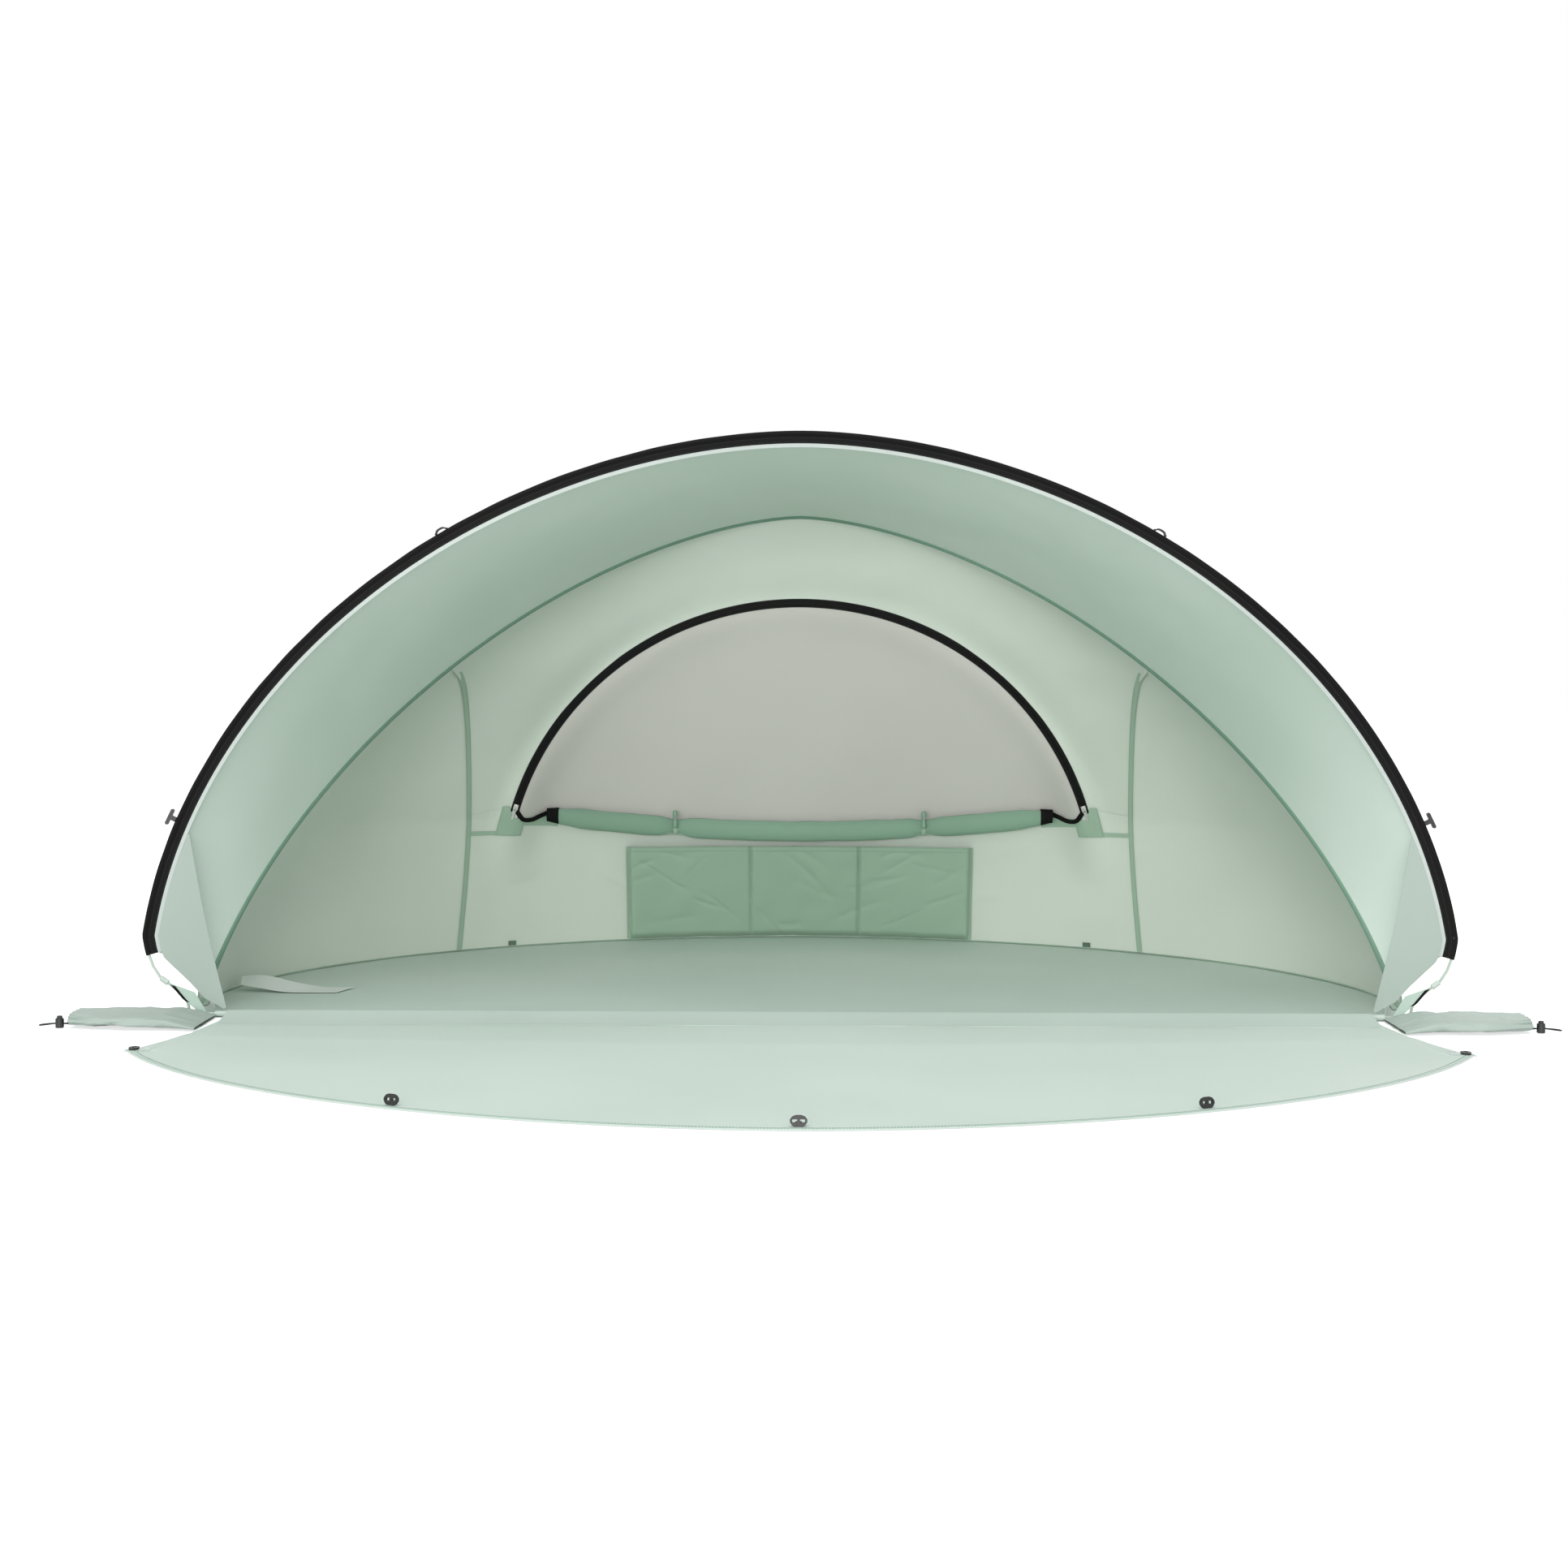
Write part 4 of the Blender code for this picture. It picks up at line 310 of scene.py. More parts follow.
def offWall(x, z, lift):
    # a spot held off the wall's inner face, square to it
    x, z = np.broadcast_arrays(np.asarray(x, float), np.asarray(z, float))
    step = 0.0002    # the slope is taken over this far either way
    alongX = (wallDepth(x + step, z) - wallDepth(x - step, z)) / (2 * step)
    alongZ = (wallDepth(x, z + step) - wallDepth(x, z - step)) / (2 * step)
    normal = np.stack([-alongX, np.ones(x.shape), -alongZ], axis=-1)
    return onWall(x, z) - lift * normal / np.linalg.norm(normal, axis=-1, keepdims=True)


seamTopX = float(archAt(wall["seamTop"])[0])


def seamX(z):
    return wall["seamFootX"] + (seamTopX - wall["seamFootX"]) * z / wall["seamTop"]


def zipSpot(angle, radius):
    return radius * np.sin(angle), zipCentre[2] + radius * np.cos(angle) * cos(window["lean"])


def zipPoint(angle, radius=None, off=0.0):
    radius = window["radius"] if radius is None else radius
    angle = np.asarray(angle, float)
    return (zipCentre + off * zipInward + radius * (np.sin(angle)[..., None] * np.array([1.0, 0, 0])
                                                   + np.cos(angle)[..., None] * zipUp))


# Making cloth
def ripple(points, size, height, seed, along=(1, 1, 1)):
    # smooth, repeatable unevenness from a few crossed waves
    chance = np.random.default_rng(seed)
    total = np.zeros(points.shape[:-1])
    for k in range(7):
        way = chance.normal(size=3) * np.array(along)
        way /= np.linalg.norm(way) + 1e-9
        total += np.sin(points @ way * 2 * pi / (size * chance.uniform(0.6, 1.5)) + chance.uniform(0, 6.3))
    return height * total / 7 ** 0.5


def creases(points, count, height, width, reach, seed):
    # a few soft folds in one direction each, scattered over the cloth
    chance = np.random.default_rng(seed)
    low, high = points.reshape(-1, 3).min(axis=0), points.reshape(-1, 3).max(axis=0)
    total = np.zeros(points.shape[:-1])
    for k in range(count):
        away = points - chance.uniform(low, high)
        turn = chance.uniform(-0.7, 0.7) + (pi if chance.uniform() > 0.5 else 0)
        flat = np.array([away[..., 0], away[..., 2] + 0.5 * away[..., 1]])
        along = flat[0] * cos(turn) + flat[1] * sin(turn)
        across = flat[1] * cos(turn) - flat[0] * sin(turn) + chance.uniform(-1.5, 1.5) * along ** 2
        size = width * chance.uniform(0.6, 1.6)
        weight = chance.uniform(0.4, 1)
        long = (along / (reach * chance.uniform(0.5, 1.3))) ** 4
        total += weight * np.exp(-(across / size) ** 2 - long)
    return height * total


def newObject(name, data):
    made = bpy.data.objects.new(name, data)
    scene.collection.objects.link(made)
    return made


def gridNormals(grid):
    normal = np.cross(np.gradient(grid, axis=0), np.gradient(grid, axis=1))
    size = np.linalg.norm(normal, axis=2)
    size[size < 1e-12] = 1
    return normal / size[:, :, None]


def gridArea(grid):
    a, b, c, d = grid[:-1, :-1], grid[1:, :-1], grid[1:, 1:], grid[:-1, 1:]
    one = np.linalg.norm(np.cross(b - a, c - a), axis=2).sum() / 2
    return one + np.linalg.norm(np.cross(c - a, d - a), axis=2).sum() / 2


def clothSheet(name, grid, thickness, finish, wrinkle=None):
    # a closed thin body round a grid of points, with its cut's metres as its UV map
    grid = np.asarray(grid, float)
    normal = gridNormals(grid)
    if wrinkle is not None:
        grid = grid + normal * np.asarray(wrinkle)[:, :, None]
        normal = gridNormals(grid)
    rows, columns = grid.shape[:2]
    count = rows * columns
    verts = np.concatenate([(grid + normal * thickness / 2).reshape(-1, 3),
                            (grid - normal * thickness / 2).reshape(-1, 3)])
    stepsDown = np.linalg.norm(np.diff(grid, axis=0), axis=2)
    stepsOver = np.linalg.norm(np.diff(grid, axis=1), axis=2)
    down = np.concatenate([[0], np.cumsum(stepsDown, axis=0).mean(axis=1)])[:, None]
    over = np.concatenate([[0], np.cumsum(stepsOver, axis=1).mean(axis=0)])[None]
    flat = np.stack([down + 0 * over, over + 0 * down], axis=2).reshape(-1, 2)
    flat = np.concatenate([flat, flat])
    corner = (np.arange(rows - 1)[:, None] * columns + np.arange(columns - 1)[None]).ravel()
    top = np.stack([corner, corner + columns, corner + columns + 1, corner + 1], axis=1)
    rim = list(range(columns)) + [i * columns + columns - 1 for i in range(1, rows)]
    rim += [(rows - 1) * columns + j for j in range(columns - 2, -1, -1)]
    rim = np.array(rim + [i * columns for i in range(rows - 2, 0, -1)])
    ahead = np.roll(rim, -1)
    sides = np.stack([rim, ahead, ahead + count, rim + count], axis=1)
    faces = np.concatenate([top, top[:, ::-1] + count, sides])
    mesh = bpy.data.meshes.new(name)
    mesh.from_pydata(verts.tolist(), [], faces.tolist())
    layer = mesh.uv_layers.new(name="UVMap")
    spots = np.empty(len(mesh.loops), np.int64)
    mesh.loops.foreach_get("vertex_index", spots)
    layer.data.foreach_set("uv", flat[spots].ravel())
    work = bmesh.new()
    work.from_mesh(mesh)
    bmesh.ops.remove_doubles(work, verts=work.verts, dist=1e-6)
    bmesh.ops.recalc_face_normals(work, faces=work.faces)
    work.to_mesh(mesh)
    work.free()
    mesh.shade_smooth()
    mesh.set_sharp_from_angle(angle=radians(60))
    mesh.materials.append(finish)
    made = newObject(name, mesh)
    made["clothArea"] = float(gridArea(grid))
    return made


def coons(bottom, top, left, right):
    # a patch between four edges: bottom and top run left to right, left and right run upwards
    u = np.linspace(0, 1, len(bottom))[None, :, None]
    v = np.linspace(0, 1, len(left))[:, None, None]
    edges = (1 - v) * bottom[None] + v * top[None] + (1 - u) * left[:, None] + u * right[:, None]
    lower = (1 - u) * (1 - v) * bottom[0] + u * (1 - v) * bottom[-1]
    return edges - lower - (1 - u) * v * top[0] - u * v * top[-1]


def share(points, start, end):
    # how far round the folding axis each point lies, from one hoop's plane to the next
    turn = np.arctan2(points[:, 2] - hoops["axisHeight"], points[:, 1])
    return np.clip((turn - start) / (end - start), 0, 1)


def hingeCloth(obj, first, second, start, end, held=None):
    # cloth that is carried by two bodies in the shares of its turn round the folding axis
    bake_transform(obj, first, second, start=(0.0, 0.1, 0.1), end=(0.0, 0.2, 0.3))
    mesh = obj.data
    spots = np.empty(len(mesh.vertices) * 3)
    mesh.vertices.foreach_get("co", spots)
    shares = share(spots.reshape(-1, 3), start, end)
    if held:
        shares = np.interp(shares, *held)
    mesh.attributes["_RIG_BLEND"].data.foreach_set("value", shares.astype(np.float32))


def carry(obj, body):
    # the walls' band that bears the rolled cover and the sliders turns as one, with the sill
    if body == "walls":
        hingeCloth(obj, "shell", "rear_arch", 0.0, hoops["lean"], ([0, 0.25, 0.37, 1], [0, 0.28, 0.28, 1]))
    elif body == "roof":
        hingeCloth(obj, "rear_arch", "front_arch", hoops["lean"], pi / 2)
    else:
        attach(obj, body)


def clothPiece(name, grid, thickness, finish, body, node, wrinkle=None):
    made = clothSheet(name, grid, thickness, finish, wrinkle)
    del made["clothArea"]
    carry(made, body)
    if node:
        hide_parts(node)
    return made


# Floor and porch
floorShape = dict(thickness=0.0008, columns=181, rows=61, rippleSize=0.35, rippleHeight=0.0004, start=0.012,
                  tuck=0.012, nearEdge=-0.002, level=0.0004, border=0.1, farEdge=1.15)


def floorGrid():
    edge = inward(floorEdge, ground["inset"])
    edge = edge[edge[:, 1] > floorShape["start"]]
    split = int(np.argmin(np.abs(edge[:, 1] - ground["centreDepth"])))
    arc, side = edge[:split + 1], edge[split:]
    cols, near = floorShape["columns"], floorShape["nearEdge"]
    top = evenly(mirrored(arc), cols)
    side = evenly(np.concatenate([side, [[side[-1][0] - floorShape["tuck"], near]]]), floorShape["rows"])[::-1]
    bottom = np.stack([np.linspace(-side[0, 0], side[0, 0], cols), np.full(cols, near)], axis=1)
    flat = coons(bottom, top, side * [-1, 1], side)
    return np.dstack([flat, np.full(flat.shape[:2], floorShape["level"])])


grid = floorGrid()
lift = np.clip(ripple(grid, floorShape["rippleSize"], 1, 3, (1, 1, 0)) + 0.3, 0, 2) * floorShape["rippleHeight"]
lift *= np.clip(grid[:, :, 1] / floorShape["border"], 0, 1)
grid[:, :, 2] += lift * np.clip((floorShape["farEdge"] - grid[:, :, 1]) / floorShape["border"], 0, 1)
clothPiece("groundsheet", grid, floorShape["thickness"], floorCloth, "shell", "floor")

porchCloths = dict(thickness=0.0008, inset=0.0123, columns=181, rows=71, level=0.0005, border=0.08,
                   creaseDepth=0.27, creaseBow=0.25, creaseWidth=0.035, creaseHeight=0.0016, rippleHeight=0.0006,
                   hemThickness=0.0006, hemLevel=0.0003, hemRise=0.0014,
                   hemProfile=((-0.5, 0.2), (-0.3, 1.0), (0.0, 0.85), (0.3, 1.0), (0.5, 0.2)))


def porchCurve():
    turns = np.linspace(0, pi / 2, 300)
    x, y = superellipse(porchShape["halfWidth"], porchShape["reach"], hoops["roundness"], turns)
    curve = np.stack([x, y + hoops["centreHeight"]], axis=1)
    curve = curve[curve[:, 1] > porchShape["cornerY"]]
    return np.concatenate([curve, [[porchShape["cornerX"], porchShape["cornerY"]]]])


def porchGrid():
    inset, cols, start = porchCloths["inset"], porchCloths["columns"], porchShape["start"]
    curve = inward(porchCurve(), inset)
    curve[0, 0] = 0
    side = evenly(np.array([curve[-1], [porchShape["startX"] - inset, start]]), porchCloths["rows"])[::-1]
    bottom = np.stack([np.linspace(-side[0, 0], side[0, 0], cols), np.full(cols, start)], axis=1)
    flat = coons(bottom, evenly(mirrored(curve), cols), side * [-1, 1], side) * [1, -1]
    return np.dstack([flat, np.full(flat.shape[:2], porchCloths["level"])])


grid = porchGrid()
bow = porchCloths["creaseDepth"] * (1 - porchCloths["creaseBow"] * (grid[:, :, 0] / 0.95) ** 2)
fold = np.exp(-((-grid[:, :, 1] - bow) / porchCloths["creaseWidth"]) ** 2)
uneven = np.clip(ripple(grid, 0.4, 1, 5, (1, 1, 0)) + 0.4, 0, 2)
grid[:, :, 2] += np.clip(-grid[:, :, 1] / porchCloths["border"], 0, 1) * (
    porchCloths["creaseHeight"] * fold + porchCloths["rippleHeight"] * uneven)
clothPiece("porchSheet", grid, porchCloths["thickness"], porchCloth, "porch", "porch_panel")


def porchHemGrid():
    outline = np.concatenate([porchCurve(), [[porchShape["startX"], porchShape["start"]]]])
    half = porchShape["hem"]
    path = inward(outline, half / 2)
    path[0] = (0, outline[0, 1] - half / 2)
    path[-1] = (outline[-1, 0] - half / 2, porchShape["start"])
    path = evenly(mirrored(path), 360)
    ways = np.gradient(path, axis=0)
    ways /= np.linalg.norm(ways, axis=1)[:, None]
    across = np.stack([ways[:, 1], -ways[:, 0]], axis=1)
    rows = []
    for offset, height in porchCloths["hemProfile"]:
        spot = path + across * offset * half
        z = porchCloths["hemLevel"] + porchCloths["hemRise"] * height * np.ones(len(path))
        rows.append(np.stack([spot[:, 0], -spot[:, 1], z], axis=1))
    return np.array(rows)


clothPiece("porchHem", porchHemGrid(), porchCloths["hemThickness"], porchCloth, "porch", "porch_hem")
print("floor and porch ready")


# Hoop sleeves
def framesAlong(path, planeNormal):
    ways = np.gradient(path, axis=0)
    ways /= np.linalg.norm(ways, axis=1)[:, None]
    across = np.cross(np.asarray(planeNormal, float), ways)
    return across / np.linalg.norm(across, axis=1)[:, None]


def sleeveGrid(path, planeNormal, radius, low, high, seed):
    # a tunnel round the rod whose two layers meet in a sewn band, a little rucked
    across = framesAlong(path, planeNormal)
    normal = np.asarray(planeNormal, float)
    turns = np.radians(np.linspace(58, 302, 15))
    arc = [(radius * cos(a), radius * sin(a)) for a in turns]
    web = hoops["webReach"]
    profile = [(web, high), (web * 0.7, high), (1.5 * radius, high)] + arc
    profile += [(1.5 * radius, low), (web * 0.7, low), (web, low)]
    run = lengths(path)
    chance = np.random.default_rng(seed)
    swell = np.zeros(len(path))
    for k in range(10):
        swell += np.sin(run * 2 * pi / chance.uniform(0.05, 0.3) + chance.uniform(0, 6.3))
    rows = []
    for n, b in profile:
        grow = (1 + sleeves["ruck"] * swell / 10 ** 0.5)[:, None] if n < 1.2 * radius else 1
        rows.append(path + across * n * grow + normal * b * grow)
    return np.array(rows)


sleeves = dict(ruck=0.05, thickness=0.0005, archRadius=0.0037, archBand=0.0006, floorRadius=0.0047,
               floorBand=(0.0037, 0.0046), floorStart=0.12, hemHalf=0.937, bindingThickness=0.0006,
               binding=((0.0125, -0.0040), (0.0160, -0.0040), (0.0182, -0.0024), (0.0186, 0.0),
                        (0.0182, 0.0024), (0.0160, 0.0040), (0.0125, 0.0040)))
frontPath = upright(evenly(mirrored(frontCrown), 420))
rearPath = leaning(evenly(mirrored(rearCrown), 420))
edgePath = mirrored(floorEdge[floorEdge[:, 1] > sleeves["floorStart"]])
edgePath = np.column_stack([evenly(edgePath, 360), np.full(360, hoops["axisHeight"])])
hemPath = np.stack([np.linspace(-sleeves["hemHalf"], sleeves["hemHalf"], 200), np.zeros(200),
                    np.full(200, hoops["axisHeight"])], axis=1)
archRadius, archBand, floorRadius = sleeves["archRadius"], sleeves["archBand"], sleeves["floorRadius"]
near, far = sleeves["floorBand"]
for name, path, normal, radius, low, high, finish, body, node, slot, width in (
        ("frontSleeve", frontPath, (0, 1, 0), archRadius, -archBand, archBand, blackCloth, "front_arch",
         "front_arch_sleeve", "black_cloth", 0.041),
        ("rearSleeve", rearPath, rearNormal, archRadius, -archBand, archBand, seamCloth, "rear_arch",
         "rear_arch_sleeve", "dark_mint", 0.041),
        ("floorEdgeSleeve", edgePath, (0, 0, -1), floorRadius, near, far, darkMintCloth, "shell",
         "rear_edge_sleeve", "dark_mint", 0.044),
        ("hemSleeve", hemPath, (0, 0, 1), floorRadius, -near, -far, floorCloth, "shell", "hem_sleeve", "mint",
         0.044)):
    clothPiece(name, sleeveGrid(path, normal, radius, low, high, len(name)), sleeves["thickness"], finish, body,
               node)


def stripGrid(path, planeNormal, near, far, off, columns=4):
    across = framesAlong(path, planeNormal)
    normal = np.asarray(planeNormal, float)
    return np.array([path + across * n + normal * off for n in np.linspace(near, far, columns)])


# The porch's near edge, sewn over the hem's tunnel
skirtShape = dict(radius=0.0056, reach=0.078, foot=0.0016, half=0.917, sag=0.35, thickness=0.0007)
arc = np.radians(np.linspace(78, 104, 10))
skirt = [(skirtShape["radius"] * cos(a), hoops["axisHeight"] + skirtShape["radius"] * sin(a)) for a in arc]
startY, startZ = skirt[-1]
for t in np.linspace(0, 1, 26)[1:]:
    left = (0.5 + 0.5 * cos(pi * t)) * (1 - skirtShape["sag"] * sin(pi * t))
    skirt.append((startY - skirtShape["reach"] * t, skirtShape["foot"] + (startZ - skirtShape["foot"]) * left))
across = np.linspace(-skirtShape["half"], skirtShape["half"], 160)
grid = np.array([[(x, y, z) for x in across] for y, z in skirt])
clothPiece("porchNearEdge", grid, skirtShape["thickness"], skirtCloth, "porch", None)

hemStrip = dict(near=0.0163, off=-0.0008, thickness=0.0006)
grid = stripGrid(frontPath, (0, 1, 0), hemStrip["near"], hoops["hemReach"], hemStrip["off"])
clothPiece("silverHem", grid, hemStrip["thickness"], silverTape, "front_arch", "front_hem_strip")
print("sleeves ready")


# Roof; ripples are given as size, height and seed, and creases as number, height, width, reach and seed
roof = dict(columns=201, rows=41, thickness=0.0007, sag=0.010, lap=0.0016, rearTuck=0.002, frontTuck=0.001,
            ripple=(0.16, 0.0007, 11), creases=(12, 0.0015, 0.014, 0.22, 12))
half = roof["columns"] // 2 + 1
back = evenly(inward(evenly(rearCrown, 300), hoops["edgeReach"] - roof["rearTuck"]), half)
front = evenly(inward(evenly(frontCrown, 300), hoops["edgeReach"] - roof["frontTuck"]), half)
back[0, 0] = front[0, 0] = 0
rearLine = leaning(mirrored(back), -roof["lap"])
frontLine = upright(mirrored(front), roof["lap"])
steps = np.linspace(0, 1, roof["rows"])[:, None, None]
grid = rearLine[None] * (1 - steps) + frontLine[None] * steps
span = np.linalg.norm(frontLine - rearLine, axis=1)
fade = np.sin(pi * steps[:, :, 0])
folds = (ripple(grid, *roof["ripple"]) + creases(grid, *roof["creases"])) * fade ** 0.5
folds -= roof["sag"] * fade * (span / span.max())[None]
upward = 1 if gridNormals(grid)[20, 100, 2] > 0 else -1
clothPiece("roofPanel", grid, roof["thickness"], roofCloth, "roof", "roof_canopy",
           wrinkle=upward * folds)
print("roof ready")

# Rear and side walls
walls = dict(thickness=0.0007, lap=0.002, sillLap=0.0004, seamGap=0.0015, smoothAbove=0.236, smoothing=0.025,
             upperRipple=(0.2, 0.0012, 21), upperCreases=(9, 0.0018, 0.012, 0.16, 22),
             lowerRipple=(0.13, 0.0010, 23), lowerCreases=(30, 0.0026, 0.006, 0.07, 24),
             sideRipple=(0.22, 0.0016), sideCreases=(9, 0.0022, 0.012, 0.15),
             netThickness=0.0005, netRipple=(0.3, 0.0008, 31))
angles = np.linspace(-window["sweep"], window["sweep"], 145)
topHalf = archEdge[archEdge[:, 2] > wall["seamTop"]][::-1][:, [0, 2]]
topHalf[0, 0] = 0
seamLine = np.array([(seamX(z), z) for z in (wall["seamTop"], wall["sill"])])
outline = mirrored(np.concatenate([evenly(topHalf, 61), evenly(seamLine, 13)[1:]]))
startX, startZ = zipSpot(angles, window["radius"] + window["tapeHalf"] - walls["lap"])
reach = np.linspace(0, 1, 31)[:, None]
grid = onWall(startX[None] + (outline[:, 0] - startX)[None] * reach,
              startZ[None] + (outline[:, 1] - startZ)[None] * reach)
folds = ripple(grid, *walls["upperRipple"]) + creases(grid, *walls["upperCreases"])
clothPiece("upperRearWall", grid, walls["thickness"], wallCloth, "walls", "rear_wall_upper",
           wrinkle=folds * np.sin(pi * reach) ** 0.6)

heights = np.linspace(wall["footHeight"], wall["sill"] + walls["sillLap"], 41)[:, None]
spread = np.linspace(-1, 1, 181)[None]
grid = onWall(spread * seamX(heights), heights + 0 * spread)
folds = ripple(grid, *walls["lowerRipple"]) - creases(grid, *walls["lowerCreases"])
folds *= np.clip((walls["smoothAbove"] - heights) / walls["smoothing"], 0, 1)
clothPiece("lowerRearWall", grid, walls["thickness"], wallCloth, "walls", "rear_wall_lower",
           wrinkle=folds * np.sin(pi * np.linspace(0, 1, 41))[:, None] ** 0.5)

for side, name in bothSides:
    rows = []
    for z in np.linspace(wall["footHeight"], wall["seamTop"] - walls["seamGap"], 61):
        half, widest, middle, fullness = wallSection(z)
        archX, archY = archAt(z)
        first = np.arcsin(min((seamX(z) / half) ** (fullness / 2), 1))
        xs = half * np.sin(np.linspace(first, pi / 2, 50)) ** (2 / fullness)
        around = np.stack([xs, wallDepth(xs, z)], axis=1)
        t = np.linspace(1, 0, 40)[1:]
        ahead = np.stack([archX + (half - archX) * np.sin(t * pi / 2), archY + (widest - archY) * t], axis=1)
        row = evenly(np.concatenate([around, ahead]), 61)
        rows.append(np.column_stack([row[:, 0] * side, row[:, 1], np.full(61, z)]))
    grid = np.array(rows)
    fade = np.sin(pi * np.linspace(0, 1, 61))
    folds = ripple(grid, *walls["sideRipple"], 25 + side) + creases(grid, *walls["sideCreases"], 27 + side)
    clothPiece(name + "SideWall", grid, walls["thickness"], wallCloth, "walls", "side_wall_" + name,
               wrinkle=folds * fade[:, None] ** 0.5 * fade[None] ** 0.4)

spread = np.linspace(-1, 1, 121) * window["sweep"]
topX, topZ = zipSpot(spread, window["radius"] - window["tapeHalf"] + walls["lap"])
up = np.linspace(0, 1, 51)[:, None]
grid = onWall(topX[None] + 0 * up, wall["sill"] + (topZ[None] - wall["sill"]) * up)
clothPiece("windowNet", grid, walls["netThickness"], netting, "walls", "mesh_window",
           wrinkle=ripple(grid, *walls["netRipple"]) * np.sin(pi * up) ** 0.7)
print("walls and window ready")

# Window zip; each band of the tape is a share of its half width and a height
zipShape = dict(thickness=0.0009, bands=((-1.0, 0.0004), (-0.62, 0.0005), (-0.3, 0.0006), (0.3, 0.0006),
                                         (0.62, 0.0005), (1.0, 0.0004)),
                coilApart=0.0008, coilOff=0.0013, coilPitch=0.0016, coilLength=0.0012, coilRadius=0.0006)
angles = np.linspace(-window["sweep"], window["sweep"], 241)
grid = np.array([zipPoint(angles, window["radius"] + n * window["tapeHalf"], off) for n, off in zipShape["bands"]])
clothPiece("zipTape", grid, zipShape["thickness"], blackCloth, "walls", "window_zip")


def runAlongTree():
    # small rods, one after another along every line of the mesh, each turned to follow it
    tree = bpy.data.node_groups.new("run along line", "GeometryNodeTree")
    tree.interface.new_socket("Geometry", in_out="INPUT", socket_type="NodeSocketGeometry")
    sockets = {}
    for label, kind in (("Pitch", "Float"), ("Length", "Float"), ("Radius", "Float"), ("Material", "Material")):
        made = tree.interface.new_socket(label, in_out="INPUT", socket_type="NodeSocket" + kind)
        sockets[label] = made.identifier
    tree.interface.new_socket("Geometry", in_out="OUTPUT", socket_type="NodeSocketGeometry")
    entry = addNode(tree, "NodeGroupInput").outputs
    curve = addNode(tree, "GeometryNodeMeshToCurve", {}, {"Mesh": entry["Geometry"]}).outputs
    spaced = addNode(tree, "GeometryNodeResampleCurve", {"mode": "LENGTH"},
                     {"Curve": curve["Curve"], "Length": entry["Pitch"]}).outputs
    tangent = addNode(tree, "GeometryNodeInputTangent").outputs
    kept = addNode(tree, "GeometryNodeStoreNamedAttribute",
                   {"data_type": "FLOAT_VECTOR", "domain": "POINT", "Name": "way"},
                   {"Geometry": spaced["Curve"], "Value": tangent["Tangent"]}).outputs
    read = addNode(tree, "GeometryNodeInputNamedAttribute", {"data_type": "FLOAT_VECTOR", "Name": "way"}).outputs
    turn = addNode(tree, "FunctionNodeAlignRotationToVector", {"axis": "Z"}, {"Vector": read["Attribute"]}).outputs
    rod = addNode(tree, "GeometryNodeMeshCylinder", {"Vertices": 6},
                  {"Depth": entry["Length"], "Radius": entry["Radius"]}).outputs
    placed = addNode(tree, "GeometryNodeInstanceOnPoints", {},
                     {"Points": kept["Geometry"], "Instance": rod["Mesh"], "Rotation": turn["Rotation"]}).outputs
    real = addNode(tree, "GeometryNodeRealizeInstances", {}, {"Geometry": placed["Instances"]}).outputs
    finished = addNode(tree, "GeometryNodeSetMaterial", {},
                       {"Geometry": real["Geometry"], "Material": entry["Material"]}).outputs
    addNode(tree, "NodeGroupOutput", {}, {"Geometry": finished["Geometry"]})
    return tree, sockets


alongTree, alongSockets = runAlongTree()


def runAlong(name, paths, pitch, length, radius, finish):
    verts, edges = [], []
    for path in paths:
        start = len(verts)
        verts += [tuple(p) for p in path]
        edges += [(start + k, start + k + 1) for k in range(len(path) - 1)]
    mesh = bpy.data.meshes.new(name + "Line")
    mesh.from_pydata(verts, edges, [])
    guide = newObject(name + "Line", mesh)
    step = guide.modifiers.new("stitches", "NODES")
    step.node_group = alongTree
    for label, value in (("Pitch", pitch), ("Length", length), ("Radius", radius), ("Material", finish)):
        step[alongSockets[label]] = value
    bpy.context.view_layer.update()
    shape = bpy.data.meshes.new_from_object(guide.evaluated_get(bpy.context.evaluated_depsgraph_get()))
    guide.modifiers.remove(step)
    bpy.data.objects.remove(guide, do_unlink=True)
    if "way" in shape.attributes:
        shape.attributes.remove(shape.attributes["way"])
    shape.name = name
    if not shape.materials:
        shape.materials.append(finish)
    return newObject(name, shape)


angles = np.linspace(-window["sweep"], window["sweep"], 600)
radii = [window["radius"] + side * zipShape["coilApart"] for side in (-1, 1)]
paths = [zipPoint(angles, radius, zipShape["coilOff"]) for radius in radii]
carry(runAlong("zipCoil", paths, zipShape["coilPitch"], zipShape["coilLength"], zipShape["coilRadius"], zipCoil),
      "walls")
print("zip ready")


# Small lengths of tape and cloth that follow the walls
def wallTape(name, x, z, lift, finish, thickness=0.0006):
    clothPiece(name, offWall(x, z, lift), thickness, finish, "walls", None)


